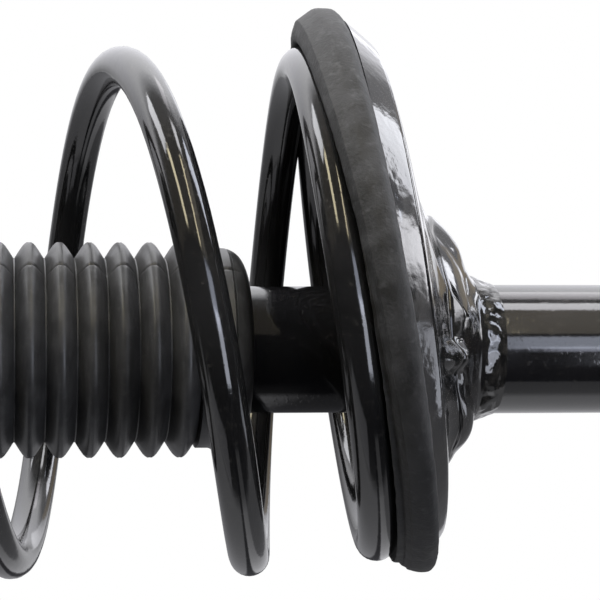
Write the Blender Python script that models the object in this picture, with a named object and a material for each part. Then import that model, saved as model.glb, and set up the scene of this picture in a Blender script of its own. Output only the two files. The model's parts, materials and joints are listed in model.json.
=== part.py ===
"""Front suspension strut assembly, modelled upright in metres with +Z up.

The origin is the centre of the damper tube's closed lower end and the damper
axis is the Z axis.  The lower spring seat is pushed out towards +X and tilted,
and the knuckle clevis opens towards +X.

The top mount stays with the vehicle.  Below its thrust bearing the spring and
the upper seat swivel, and the damper tube with the lower seat also slides up
the piston rod.
"""

import math

import bmesh
import bpy
from mathutils import Vector

# ---------------------------------------------------------------- driving dimensions

GAP = 0.0003                    # running gap between neighbouring solids
ROUND_STEPS = 32                # facets around a large turned piece
SMALL_STEPS = 20                # facets around a small or hidden one
SEAT_STEPS = 60                 # facets around the lower seat and its isolator

TUBE_RADIUS = 0.0225            # damper tube below the spring seat
TUBE_TOP_RADIUS = 0.0220        # the tube is drawn slightly smaller above the seat
TUBE_BORE = 0.0195
TUBE_FOOT = 0.0073              # tube's lower edge, on the end cap
TUBE_TOP = 0.3000
CYLINDER_OUTER = 0.0165         # inner pressure cylinder
CYLINDER_BORE = 0.0152          # clears the piston band between its facets as they turn
VALVE_FOOT = 0.0108             # base valve, on the end cap
CYLINDER_TOP = 0.2860           # the rod guide and the seal sit above it
ROD_RADIUS = 0.0110
ROD_THREAD_RADIUS = 0.0070
ROD_LOW = 0.2330                # lower end of the rod, below the piston
PISTON_LOW = 0.2400
PISTON_HIGH = 0.2590
PISTON_RADIUS = 0.0146
ROD_SHOULDER = 0.5347           # where the rod steps down to its threaded end
ROD_TOP = 0.5860
NUT_LOW = 0.5703
NUT_HIGH = 0.5810
NUT_CORNER = 0.0127             # radius over the hexagon's corners

SEAT_HEIGHT = 0.2350            # centre of the lower seat's rim plane
SEAT_OFFSET = 0.0203            # rim centre, from the tube axis towards +X
SEAT_SLOPE = Vector((0.142, -0.113))   # rise of the rim plane per metre along X and Y
SEAT_RADIUS = 0.0940            # outside of the steel rim
SEAT_SHEET = 0.0030             # sheet thickness
COLLAR_FOOT = 0.2003            # lower end of the seat's collar on the tube
LIP_RADIUS = 0.0973             # outside of the rubber isolator
GUSSETS = 6                     # folds pressed into the seat's cone
GUSSET_ANGLE = math.radians(-72.0)
GUSSET_SKEW = math.radians(30.0)       # how far a fold turns from the collar to the rim
GUSSET_DEPTHS = (0.0012, 0.0030)       # shallow and deep gussets take turns
GUSSET_HALF_WIDTH = 0.0180

SPRING_RADIUS = 0.0842          # coil radius to the wire's centre
END_COIL_RADIUS = 0.0823        # the lower end coil is slightly tighter
WIRE_RADIUS = 0.00675
SPRING_PITCH = 0.0810           # per turn, where the coils are free
SPRING_OFFSET = 0.0132          # coil centre from the tube axis, in the free coils
END_COIL_OFFSET = 0.0160        # the same for the lower end coil
COIL_HEIGHT = 0.3207            # coil centre height at turn 0, counted downwards from +X
COIL_LEAN = 0.039               # slope of the free coils towards +X
LOW_CLOSING = 0.476             # turn where the lower end starts to close
LOW_TIP = 1.917                 # turn of the wire's lower tip
TOP_CLOSING = 1.917             # turns above turn 0 where the upper end starts to close
TOP_TIP = 3.560
CLOSING_TURNS = 0.806           # how long the pitch takes to fade at either end
LOW_END_PITCH = 0.0070
TOP_END_PITCH = 0.0030
LEAN_START = 0.55               # turn where the coil starts to lean with the seat
LEAN_TURNS = 0.70

BOOT_RIDGE_RADIUS = 0.0372
BOOT_VALLEY_RADIUS = 0.0317
BOOT_MOUTH_RADIUS = 0.0262      # the boot closes in round the tube at its foot
BOOT_WALL = 0.0018
BOOT_PITCH = 0.01034
BOOT_FOOT = 0.2790
BOOT_FIRST_RIDGE = 0.3019
BOOT_RIDGES = 20

STOP_LOW = 0.4450               # bump stop on the rod
STOP_CUP_LOW = 0.5240
UPPER_SEAT_HEIGHT = 0.5243      # underside of the upper seat's dish
UPPER_SEAT_RADIUS = 0.0960
BEARING_INNER = 0.0340
BEARING_OUTER = 0.0460
PLATE_HEIGHT = 0.5600           # underside of the mount plate
PLATE_THICKNESS = 0.0040
PLATE_RADIUS = 0.0580           # mean outline radius; the three lobes add to it
PLATE_LOBE = 0.0120
PLATE_HOLE = 0.0270
PLATE_STEPS = 48
STUD_CIRCLE = 0.0570
STUD_RADIUS = 0.0050
STUD_TOP = 0.5900

BRACKET_FOOT = 0.0200
BRACKET_TOP = 0.1200
BRACKET_SHEET = 0.0045
CLEVIS_HALF_GAP = 0.0160
CLEVIS_NECK = 0.0360            # X where the cheeks become parallel
CLEVIS_REACH = 0.0780
BOLT_HOLE_RADIUS = 0.0072
BOLT_X = 0.0580
BOLT_HEIGHTS = (0.0410, 0.0990)

# ---------------------------------------------------------------- materials

MATERIALS = {
    "gloss_black": ((0.006, 0.006, 0.007), 0.18, 0.0),
    "spring_black": ((0.008, 0.008, 0.009), 0.22, 0.0),
    "weld_black": ((0.010, 0.010, 0.010), 0.25, 0.0),
    "boot_rubber": ((0.012, 0.012, 0.013), 0.65, 0.0),
    "isolator_rubber": ((0.020, 0.020, 0.021), 0.85, 0.0),
    "mount_rubber": ((0.015, 0.015, 0.015), 0.75, 0.0),
    "bump_foam": ((0.55, 0.50, 0.36), 0.80, 0.0),
    "seal_rubber": ((0.030, 0.020, 0.015), 0.60, 0.0),
    "chromed_steel": ((0.75, 0.76, 0.78), 0.08, 1.0),
    "zinc_steel": ((0.55, 0.54, 0.50), 0.35, 1.0),
    "plain_steel": ((0.42, 0.42, 0.43), 0.40, 1.0),
    "sintered_iron": ((0.20, 0.20, 0.21), 0.60, 1.0),
    "bearing_nylon": ((0.10, 0.10, 0.11), 0.45, 0.0),
    "piston_band_ptfe": ((0.05, 0.09, 0.08), 0.50, 0.0),
}


def make_material(name):
    """Return the named Principled material, made once."""
    if name in bpy.data.materials:
        return bpy.data.materials[name]
    color, roughness, metallic = MATERIALS[name]
    material = bpy.data.materials.new(name)
    material.use_nodes = True
    shader = material.node_tree.nodes["Principled BSDF"]
    shader.inputs["Base Color"].default_value = (*color, 1.0)
    shader.inputs["Roughness"].default_value = roughness
    shader.inputs["Metallic"].default_value = metallic
    return material


# ---------------------------------------------------------------- modelling helpers

def clear_scene():
    """Remove every object of the start-up scene."""
    for item in list(bpy.data.objects):
        bpy.data.objects.remove(item, do_unlink=True)


def make_pivot(name, height):
    """An empty on the damper axis that carries a moving body's pieces."""
    pivot = bpy.data.objects.new(name, None)
    pivot.empty_display_size = 0.05
    pivot.location = (0.0, 0.0, height)
    bpy.context.collection.objects.link(pivot)
    return pivot


def finish_piece(name, bm, material, pivot):
    """Turn a bmesh into a smooth-shaded object that hangs on its body's pivot."""
    bmesh.ops.recalc_face_normals(bm, faces=bm.faces)
    mesh = bpy.data.meshes.new(name)
    bm.to_mesh(mesh)
    bm.free()
    mesh.shade_smooth()
    mesh.set_sharp_from_angle(angle=math.radians(35.0))
    mesh.materials.append(make_material(material))
    piece = bpy.data.objects.new(name, mesh)
    bpy.context.collection.objects.link(piece)
    piece.parent = pivot
    piece.location = -pivot.location
    return piece


def join_rings(bm, rings, closed):
    """Skin a list of vertex rings; a one-vertex ring is a pole on the axis."""
    pairs = list(zip(rings, rings[1:]))
    if closed:
        pairs.append((rings[-1], rings[0]))
    for lower, upper in pairs:
        count = max(len(lower), len(upper))
        for step in range(count):
            after = (step + 1) % count
            if len(lower) == 1:
                corners = (lower[0], upper[after], upper[step])
            elif len(upper) == 1:
                corners = (lower[step], lower[after], upper[0])
            else:
                corners = (lower[step], lower[after], upper[after], upper[step])
            bm.faces.new(corners)


def skin_points(name, point_rings, material, pivot, closed=True):
    """Make a piece from rings of points; closed rings wrap round like a torus."""
    bm = bmesh.new()
    rings = [[bm.verts.new(point) for point in ring] for ring in point_rings]
    join_rings(bm, rings, closed)
    if not closed:
        bm.faces.new(reversed(rings[0]))
        bm.faces.new(rings[-1])
    return finish_piece(name, bm, material, pivot)


def turned(name, profile, material, pivot, steps=ROUND_STEPS):
    """Turn a closed (radius, height) profile about the damper axis."""
    bm = bmesh.new()
    rings = []
    for radius, height in profile:
        if radius == 0.0:
            rings.append([bm.verts.new((0.0, 0.0, height))])
            continue
        ring = []
        for step in range(steps):
            angle = 2.0 * math.pi * step / steps
            ring.append(bm.verts.new((radius * math.cos(angle), radius * math.sin(angle), height)))
        rings.append(ring)
    join_rings(bm, rings, closed=profile[0][0] > 0.0)
    return finish_piece(name, bm, material, pivot)


def washer_profile(inner, outer, low, high):
    """Profile of a flat ring."""
    return [(inner, low), (outer, low), (outer, high), (inner, high)]


def chamfered_washer(inner, outer, low, high, chamfer):
    """Profile of a flat ring with chamfered outer edges."""
    return [
        (inner, low),
        (outer - chamfer, low),
        (outer, low + chamfer),
        (outer, high - chamfer),
        (outer - chamfer, high),
        (inner, high),
    ]


def arc(radius, start_deg, end_deg, steps):
    """Points on a circle about the damper axis, in plan."""
    points = []
    for step in range(steps + 1):
        angle = math.radians(start_deg + (end_deg - start_deg) * step / steps)
        points.append(Vector((radius * math.cos(angle), radius * math.sin(angle))))
    return points


def extruded(name, outline, low, high, material, pivot):
    """Extrude a plan outline between two heights."""
    rings = [[(point.x, point.y, height) for point in outline] for height in (low, high)]
    return skin_points(name, rings, material, pivot, closed=False)


def ring_sector(name, inner, size, low, start_deg, end_deg, material, pivot):
    """A fillet weld lying on the tube: a round-topped bead over part of a turn."""
    rings = []
    for point in arc(1.0, start_deg, end_deg, 14):
        section = []
        for corner_deg in (0, 30, 60, 90):
            corner = math.radians(corner_deg)
            reach = inner + size * math.cos(corner)
            section.append((point.x * reach, point.y * reach, low + size * math.sin(corner)))
        section.append((point.x * inner, point.y * inner, low))
        rings.append(section)
    return skin_points(name, rings, material, pivot, closed=False)


def drill(piece, name, start, end, radius):
    """Cut a round hole through a piece with a live Boolean."""
    axis = Vector(end) - Vector(start)
    bm = bmesh.new()
    bmesh.ops.create_cone(
        bm, cap_ends=True, segments=24, radius1=radius, radius2=radius, depth=axis.length)
    mesh = bpy.data.meshes.new(name)
    bm.to_mesh(mesh)
    bm.free()
    cutter = bpy.data.objects.new(name, mesh)
    bpy.context.collection.objects.link(cutter)
    cutter.location = (Vector(start) + Vector(end)) / 2.0
    cutter.rotation_euler = axis.to_track_quat("Z", "Y").to_euler()
    cutter.hide_render = True
    cutter.display_type = "WIRE"
    cut = piece.modifiers.new(name, "BOOLEAN")
    cut.operation = "DIFFERENCE"
    cut.object = cutter


# ---------------------------------------------------------------- spring and seat geometry

def fade(value):
    """Smooth step from 0 to 1."""
    value = min(max(value, 0.0), 1.0)
    return value * value * (3.0 - 2.0 * value)


def fade_area(value):
    """Integral of fade from 0 to value."""
    if value <= 0.0:
        return 0.0
    if value >= 1.0:
        return value - 0.5
    return value ** 3 - value ** 4 / 2.0


def coil_drop(turn):
    """Fall of the coil's centre from turn 0; turns count downwards."""
    low = (SPRING_PITCH - LOW_END_PITCH) * CLOSING_TURNS
    top = (SPRING_PITCH - TOP_END_PITCH) * CLOSING_TURNS
    drop = SPRING_PITCH * turn
    drop -= low * fade_area((turn - LOW_CLOSING) / CLOSING_TURNS)
    drop += top * fade_area((-turn - TOP_CLOSING) / CLOSING_TURNS)
    return drop


def wire_centre(turn):
    """Centre of the spring wire; the coil is right-handed and leans with its seats."""
    angle = -2.0 * math.pi * turn
    upper = fade((-turn - 0.5) / 2.0)
    lower = fade((turn - LEAN_START) / LEAN_TURNS)
    radius = SPRING_RADIUS + (END_COIL_RADIUS - SPRING_RADIUS) * lower
    offset = SPRING_OFFSET * (1.0 - upper) + (END_COIL_OFFSET - SPRING_OFFSET) * lower
    reach = Vector((math.cos(angle), math.sin(angle))) * radius
    lean = Vector((COIL_LEAN, 0.0)) * (1.0 - upper) * (1.0 - lower) + SEAT_SLOPE * lower
    height = COIL_HEIGHT - coil_drop(turn) + lean.dot(reach)
    return Vector((offset + reach.x, reach.y, height))


def seat_point(radius, angle, height, centre=1.0, tilt=1.0):
    """A point of the lower seat: circles slide from the tube axis to the rim's centre."""
    reach = Vector((math.cos(angle), math.sin(angle))) * radius
    return Vector((SEAT_OFFSET * centre + reach.x, reach.y, height + tilt * SEAT_SLOPE.dot(reach)))


def from_spring_centre(radius, angle):
    """Distance from the rim's centre to a circle drawn about the coil's centre."""
    shift = SEAT_OFFSET - END_COIL_OFFSET
    side = shift * math.sin(angle)
    return math.sqrt(radius * radius - side * side) - shift * math.cos(angle)


def coil_floor(angle):
    """Height of the isolator's floor over the rim plane, following the end coil."""
    turn = 2.0 - angle / (2.0 * math.pi)
    rest = []
    for at in (min(turn, LOW_TIP), 1.0):
        wire = wire_centre(at)
        plane = SEAT_HEIGHT + SEAT_SLOPE.dot(Vector((wire.x - SEAT_OFFSET, wire.y)))
        rest.append(wire.z - plane - WIRE_RADIUS - 2.0 * GAP)
    ramp = max(turn - LOW_TIP, 0.0) / (2.0 - LOW_TIP)
    return rest[0] + (rest[1] - rest[0]) * ramp


# ---------------------------------------------------------------- damper and its inner pieces

def make_tube(pivot):
    """Outer damper tube, drawn down slightly above the seat."""
    turned("damper_tube", [
        (TUBE_BORE, TUBE_FOOT),
        (TUBE_RADIUS - 0.0008, TUBE_FOOT),
        (TUBE_RADIUS, TUBE_FOOT + 0.0008),
        (TUBE_RADIUS, COLLAR_FOOT + 0.0070),
        (TUBE_TOP_RADIUS, COLLAR_FOOT + 0.0120),
        (TUBE_TOP_RADIUS, TUBE_TOP - 0.0015),
        (TUBE_TOP_RADIUS - 0.0015, TUBE_TOP),
        (TUBE_BORE, TUBE_TOP),
    ], "gloss_black", pivot)
    turned("tube_end_cap", [
        (0.0, 0.0),
        (0.0140, 0.0),
        (0.0190, 0.0016),
        (TUBE_RADIUS - 0.0004, 0.0050),
        (TUBE_RADIUS - 0.0004, TUBE_FOOT - GAP),
        (TUBE_BORE - GAP, TUBE_FOOT - GAP),
        (TUBE_BORE - GAP, 0.0105),
        (0.0160, 0.0105),
        (0.0160, 0.0075),
        (0.0110, 0.0040),
        (0.0, 0.0040),
    ], "gloss_black", pivot)


def make_damper_inside(pivot):
    """Base valve, pressure cylinder, rod guide, seal and gland cap."""
    shoulder = VALVE_FOOT + 0.0052
    turned("base_valve", [
        (0.0030, VALVE_FOOT),
        (CYLINDER_OUTER, VALVE_FOOT),
        (CYLINDER_OUTER, shoulder),
        (CYLINDER_BORE - GAP, shoulder),
        (CYLINDER_BORE - GAP, shoulder + 0.0050),
        (0.0030, shoulder + 0.0050),
    ], "sintered_iron", pivot, steps=SMALL_STEPS)
    turned("pressure_cylinder", washer_profile(
        CYLINDER_BORE, CYLINDER_OUTER, shoulder + GAP, CYLINDER_TOP), "plain_steel", pivot,
        steps=SMALL_STEPS)
    guide_low = CYLINDER_TOP + GAP
    guide_high = guide_low + 0.0082
    turned("rod_guide", washer_profile(
        ROD_RADIUS + GAP, TUBE_BORE - GAP, guide_low, guide_high), "sintered_iron", pivot,
        steps=SMALL_STEPS)
    turned("rod_seal", washer_profile(
        ROD_RADIUS + GAP, TUBE_BORE - GAP, guide_high + GAP, TUBE_TOP - 0.0002), "seal_rubber", pivot,
        steps=SMALL_STEPS)
    turned("gland_cap", chamfered_washer(
        ROD_RADIUS + 2.0 * GAP, TUBE_TOP_RADIUS - 0.0006, TUBE_TOP + GAP, TUBE_TOP + 0.0043, 0.0010),
        "gloss_black", pivot)


def make_rod(pivot):
    """Piston rod with its piston, piston band and rebound stop."""
    turned("piston_rod", [
        (0.0, ROD_LOW),
        (ROD_THREAD_RADIUS - 0.001, ROD_LOW),
        (ROD_THREAD_RADIUS, ROD_LOW + 0.001),
        (ROD_THREAD_RADIUS, PISTON_HIGH + 0.001),
        (ROD_RADIUS, PISTON_HIGH + 0.001),
        (ROD_RADIUS, ROD_SHOULDER - 0.0008),
        (ROD_RADIUS - 0.0008, ROD_SHOULDER),
        (ROD_THREAD_RADIUS, ROD_SHOULDER),
        (ROD_THREAD_RADIUS, ROD_TOP - 0.0015),
        (ROD_THREAD_RADIUS - 0.0015, ROD_TOP),
        (0.0, ROD_TOP),
    ], "chromed_steel", pivot, steps=SMALL_STEPS)
    groove_low = PISTON_LOW + 0.0040
    groove_high = PISTON_HIGH - 0.0050
    groove_radius = PISTON_RADIUS - 0.0012
    turned("piston", [
        (ROD_THREAD_RADIUS + GAP, PISTON_LOW),
        (PISTON_RADIUS, PISTON_LOW),
        (PISTON_RADIUS, groove_low),
        (groove_radius, groove_low),
        (groove_radius, groove_high),
        (PISTON_RADIUS, groove_high),
        (PISTON_RADIUS, PISTON_HIGH),
        (ROD_THREAD_RADIUS + GAP, PISTON_HIGH),
    ], "sintered_iron", pivot, steps=SMALL_STEPS)
    turned("piston_band", washer_profile(
        groove_radius + GAP, PISTON_RADIUS + 0.00025, groove_low + GAP, groove_high - GAP),
        "piston_band_ptfe", pivot, steps=SMALL_STEPS)
    turned("rebound_stop", washer_profile(
        ROD_RADIUS + GAP, PISTON_RADIUS, CYLINDER_TOP - 0.0070, CYLINDER_TOP - 0.0002),
        "seal_rubber", pivot, steps=SMALL_STEPS)


# ---------------------------------------------------------------- lower seat, isolator, spring

def seat_press(radius, angle, share):
    """Depth of the gussets pressed into the cone, a share of the way from collar to dish."""
    depth = 0.0
    for number in range(GUSSETS):
        fold = GUSSET_ANGLE + 2.0 * math.pi * number / GUSSETS + GUSSET_SKEW * (share - 0.5)
        turn = (angle - fold + math.pi) % (2.0 * math.pi) - math.pi
        across = min(abs(turn) * radius / GUSSET_HALF_WIDTH, 1.0)
        depth += GUSSET_DEPTHS[number % 2] * math.sin(math.pi * share) * (1.0 - across * across) ** 2
    return depth


def seat_ring(radius, height, centre, tilt, share):
    """One ring of the lower seat; gussets push it outwards and down."""
    ring = []
    for step in range(SEAT_STEPS):
        angle = 2.0 * math.pi * step / SEAT_STEPS
        depth = seat_press(radius, angle, share)
        point = seat_point(radius, angle, height, centre, tilt)
        ring.append(point + Vector((math.cos(angle), math.sin(angle), -1.6)) * 0.5 * depth)
    return ring


def make_lower_seat(pivot):
    """Stamped lower seat: a collar on the tube, a gusseted cone and a turned-up rim."""
    plane = SEAT_HEIGHT
    collar = TUBE_RADIUS + GAP
    # radius, height, centre, tilt: underside from the collar out to the dish
    cone = [
        (collar + 0.0030, COLLAR_FOOT, 0.0, 0.0),
        (collar + 0.0037, COLLAR_FOOT + 0.0020, 0.0, 0.0),
        (0.0305, 0.2056, 0.0, 0.05),
        (0.0360, 0.2078, 0.01, 0.15),
        (0.0400, 0.2100, 0.05, 0.35),
        (0.0444, 0.2140, 0.14, 0.62),
        (0.0530, 0.2172, 0.52, 0.85),
        (0.0640, plane - 0.0150, 1.0, 1.0),
    ]
    # radius and height of the dish, out over its rim and back in on the upper side
    dish = [
        (0.0760, plane - 0.0132),
        (0.0830, plane - 0.0114),
        (0.0867, plane - 0.0096),
        (0.0902, plane - 0.0060),
        (SEAT_RADIUS, plane - 0.0020),
        (SEAT_RADIUS - 0.0028, plane - 0.0014),
        (0.0876, plane - 0.0044),
        (0.0845, plane - 0.0073),
        (0.0815, plane - 0.0088),
    ]
    # and the upper side of the cone back in to the collar
    funnel = [
        (0.0640, plane - 0.0115, 1.0, 1.0),
        (0.0540, 0.2206, 0.55, 0.85),
        (0.0435, 0.2175, 0.18, 0.6),
        (0.0385, 0.2136, 0.08, 0.35),
        (0.0335, 0.2108, 0.02, 0.15),
        (0.0280, 0.2085, 0.0, 0.05),
        (collar, 0.2060, 0.0, 0.0),
    ]
    rings = [seat_ring(*ring, index / (len(cone) - 1)) for index, ring in enumerate(cone)]
    rings += [seat_ring(radius, height, 1.0, 1.0, 0.0) for radius, height in dish]
    rings += [seat_ring(*ring, 1.0 - index / (len(funnel) - 1)) for index, ring in enumerate(funnel)]
    rings.append(seat_ring(collar, COLLAR_FOOT, 0.0, 0.0, 0.0))
    skin_points("lower_spring_seat", rings, "gloss_black", pivot)


def isolator_section(angle):
    """Cross-section of the isolator at one angle: (radius, height over the rim plane)."""
    floor = coil_floor(angle)
    lip = 0.0078 + 0.0060 * math.cos(angle) + 0.0014 * math.cos(2.0 * angle)
    lip -= 0.0010 * math.sin(angle)
    skirt = -0.0048 + 0.0033 * math.cos(angle)
    channel = from_spring_centre(END_COIL_RADIUS + WIRE_RADIUS + 0.0006, angle)
    bore = from_spring_centre(0.0690, angle)
    crest = channel + 0.25 * (LIP_RADIUS - channel)
    waist = (skirt + lip) / 2.0
    under = -0.0084 - 0.154 * (0.0812 - bore)
    return [
        (SEAT_RADIUS + GAP, skirt),
        (LIP_RADIUS, skirt + 0.0022),
        (LIP_RADIUS, waist),
        ((LIP_RADIUS + crest) / 2.0, lip - 0.0015),
        (crest, lip),
        (channel, lip - 0.0004),
        (channel, floor),
        (bore, floor),
        (bore, under),
        (0.0812, -0.0084),
        (0.0842, -0.0069),
        (0.0872, -0.0040),
        (SEAT_RADIUS - 0.0030, -0.0010),
        (SEAT_RADIUS + GAP, -0.0010),
    ]


def make_lower_isolator(pivot):
    """Rubber isolator: a ramp under the end coil and a lip over the steel rim."""
    rings = []
    for step in range(SEAT_STEPS):
        angle = 2.0 * math.pi * step / SEAT_STEPS
        rings.append([
            seat_point(radius, angle, SEAT_HEIGHT + height)
            for radius, height in isolator_section(angle)
        ])
    skin_points("lower_isolator", rings, "isolator_rubber", pivot)


def make_spring(pivot):
    """Coil spring: round wire swept along the coil, cut square at both tips."""
    steps = 90
    sides = 8
    rings = []
    for step in range(steps + 1):
        turn = LOW_TIP - (LOW_TIP + TOP_TIP) * step / steps
        centre = wire_centre(turn)
        along = (wire_centre(turn - 0.01) - wire_centre(turn + 0.01)).normalized()
        outward = Vector((centre.x - SPRING_OFFSET, centre.y, 0.0))
        outward = (outward - along * outward.dot(along)).normalized()
        upward = along.cross(outward)
        ring = []
        for side in range(sides):
            angle = 2.0 * math.pi * (side + 0.5) / sides
            ring.append(centre + (outward * math.cos(angle) + upward * math.sin(angle)) * WIRE_RADIUS)
        rings.append(ring)
    skin_points("coil_spring", rings, "spring_black", pivot, closed=False)


def make_seat_weld(pivot):
    """Weld all round the tube: a fillet from the seat's collar down to the tube."""
    inner = TUBE_RADIUS + GAP
    turned("seat_weld", [
        (inner, COLLAR_FOOT - 0.0082),
        (inner + 0.0012, COLLAR_FOOT - 0.0066),
        (inner + 0.0022, COLLAR_FOOT - 0.0040),
        (inner + 0.0030, COLLAR_FOOT - 0.0018),
        (inner + 0.0030, COLLAR_FOOT - GAP),
        (inner, COLLAR_FOOT - GAP),
    ], "weld_black", pivot)


# ---------------------------------------------------------------- boot and bump stop

def boot_outline():
    """Outer profile of the bellows, from its rounded mouth up."""
    band = BOOT_RIDGE_RADIUS - 0.0020
    cuff = BOOT_RIDGE_RADIUS - 0.0033
    outline = [
        (BOOT_MOUTH_RADIUS, BOOT_FOOT),
        (0.0312, BOOT_FOOT + 0.0015),
        (0.0338, BOOT_FOOT + 0.0040),
        (band, BOOT_FOOT + 0.0065),
        (band, BOOT_FOOT + 0.0110),
        (cuff, BOOT_FOOT + 0.0130),
        (cuff, BOOT_FIRST_RIDGE - BOOT_PITCH / 2.0),
    ]
    for ridge in range(BOOT_RIDGES):
        height = BOOT_FIRST_RIDGE + BOOT_PITCH * ridge
        outline.append((BOOT_RIDGE_RADIUS, height))
        outline.append((BOOT_VALLEY_RADIUS, height + BOOT_PITCH / 2.0))
    outline.append((BOOT_RIDGE_RADIUS, UPPER_SEAT_HEIGHT - 0.0120))
    outline.append((BOOT_RIDGE_RADIUS, UPPER_SEAT_HEIGHT - GAP))
    return outline


def make_boot(pivot):
    """Dust boot: a bellows with an open mouth and a cuff under the upper seat."""
    bore = BOOT_VALLEY_RADIUS - BOOT_WALL
    profile = boot_outline() + [
        (bore, UPPER_SEAT_HEIGHT - GAP),
        (bore, BOOT_FOOT + 0.0055),
        (BOOT_MOUTH_RADIUS - BOOT_WALL, BOOT_FOOT),
    ]
    turned("dust_boot", profile, "boot_rubber", pivot, steps=SMALL_STEPS)


def make_bump_stop(pivot):
    """Foam bump stop, waisted so that it folds, with its steel cup above."""
    inner = ROD_RADIUS + 2.0 * GAP
    profile = [(inner, STOP_LOW), (0.0165, STOP_LOW), (0.0190, STOP_LOW + 0.0030)]
    for waist in range(3):
        height = STOP_LOW + 0.0130 + 0.0220 * waist
        profile.append((0.0205, height))
        profile.append((0.0170, height + 0.0100))
    profile.append((0.0225, STOP_CUP_LOW))
    profile.append((0.0225, ROD_SHOULDER - GAP))
    profile.append((inner, ROD_SHOULDER - GAP))
    turned("bump_stop", profile, "bump_foam", pivot, steps=SMALL_STEPS)
    turned("bump_stop_cup", [
        (ROD_THREAD_RADIUS + GAP, ROD_SHOULDER + GAP),
        (0.0229, ROD_SHOULDER + GAP),
        (0.0229, STOP_CUP_LOW),
        (0.0250, STOP_CUP_LOW),
        (0.0250, ROD_SHOULDER + 0.0018),
        (0.0238, ROD_SHOULDER + 0.0028),
        (ROD_THREAD_RADIUS + GAP, ROD_SHOULDER + 0.0028),
    ], "zinc_steel", pivot, steps=SMALL_STEPS)


# ---------------------------------------------------------------- upper seat and bearing

def make_upper_seat(pivot):
    """Upper spring seat with its isolator."""
    low = UPPER_SEAT_HEIGHT
    rim = UPPER_SEAT_RADIUS
    turned("upper_spring_seat", [
        (0.0300, low),
        (rim, low),
        (rim, low - 0.0095),
        (rim + SEAT_SHEET, low - 0.0095),
        (rim + SEAT_SHEET, low + 0.0010),
        (rim + 0.0010, low + SEAT_SHEET),
        (0.0300, low + SEAT_SHEET),
    ], "gloss_black", pivot)
    turned("upper_isolator", [
        (0.0660, low - 0.0045),
        (0.0945, low - 0.0045),
        (rim - GAP, low - 0.0035),
        (rim - GAP, low - GAP),
        (0.0660, low - GAP),
    ], "isolator_rubber", pivot)


def make_bearing(cage_pivot, swivel_pivot, mount_pivot):
    """Thrust bearing: two races with a ball cage between them."""
    race = 0.0034               # thickness of one race
    ball = 0.0052               # height of the cage over its balls
    low = UPPER_SEAT_HEIGHT + SEAT_SHEET + GAP
    middle = low + race + GAP + ball / 2.0
    turned("bearing_lower_race", washer_profile(
        BEARING_INNER, BEARING_OUTER, low, low + race), "plain_steel", swivel_pivot)
    balls = 12
    steps = 3 * balls
    rings = []
    for step in range(steps):
        angle = 2.0 * math.pi * step / steps
        swell = math.cos(angle * balls / 2.0) ** 2
        half = ball / 2.0 - 0.0008 * (1.0 - swell)
        direction = Vector((math.cos(angle), math.sin(angle)))
        rings.append([
            (direction.x * radius, direction.y * radius, middle + side * half)
            for radius, side in (
                (BEARING_INNER + 0.0020, -1), (BEARING_OUTER - 0.0020, -1),
                (BEARING_OUTER - 0.0020, 1), (BEARING_INNER + 0.0020, 1))
        ])
    skin_points("bearing_ball_cage", rings, "bearing_nylon", cage_pivot)
    high = middle + ball / 2.0 + GAP
    turned("bearing_upper_race", washer_profile(
        BEARING_INNER, BEARING_OUTER, high, high + race), "plain_steel", mount_pivot)
    return high + race


# ---------------------------------------------------------------- top mount

def make_mount_core(pivot, low):
    """Cup, rubber and inner sleeve that carry the rod's end."""
    turned("mount_cup", [
        (0.0165, low),
        (0.0440, low),
        (0.0460, low + 0.0020),
        (0.0460, PLATE_HEIGHT - GAP),
        (0.0434, PLATE_HEIGHT - GAP),
        (0.0434, low + 0.0026),
        (0.0165, low + 0.0026),
    ], "gloss_black", pivot)
    floor = low + 0.0026 + GAP
    turned("mount_rubber", [
        (0.0139, floor),
        (0.0431, floor),
        (0.0431, PLATE_HEIGHT - GAP),
        (PLATE_HOLE - GAP, PLATE_HEIGHT - GAP),
        (PLATE_HOLE - GAP, PLATE_HEIGHT + 0.0020),
        (0.0215, PLATE_HEIGHT + 0.0055),
        (0.0139, PLATE_HEIGHT + 0.0055),
    ], "mount_rubber", pivot)
    turned("mount_sleeve", washer_profile(
        ROD_THREAD_RADIUS + GAP, 0.0136, ROD_SHOULDER + 0.0031, NUT_LOW - 0.0033),
        "plain_steel", pivot, steps=SMALL_STEPS)


def make_mount_plate(pivot):
    """Three-lobed mounting plate with its centre hole and stud holes."""
    outline = []
    for step in range(PLATE_STEPS):
        angle = 2.0 * math.pi * step / PLATE_STEPS
        radius = PLATE_RADIUS + PLATE_LOBE * math.cos(3.0 * angle)
        outline.append(Vector((radius * math.cos(angle), radius * math.sin(angle))))
    plate = extruded("mount_plate", outline, PLATE_HEIGHT, PLATE_HEIGHT + PLATE_THICKNESS,
                     "zinc_steel", pivot)
    low = PLATE_HEIGHT - 0.01
    high = PLATE_HEIGHT + 0.01
    drill(plate, "cut_mount_centre", (0.0, 0.0, low), (0.0, 0.0, high), PLATE_HOLE)
    for number in range(3):
        x, y = arc(STUD_CIRCLE, 120.0 * number, 120.0 * number, 1)[0]
        drill(plate, f"cut_stud_{number + 1}", (x, y, low), (x, y, high), STUD_RADIUS + GAP)


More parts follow.
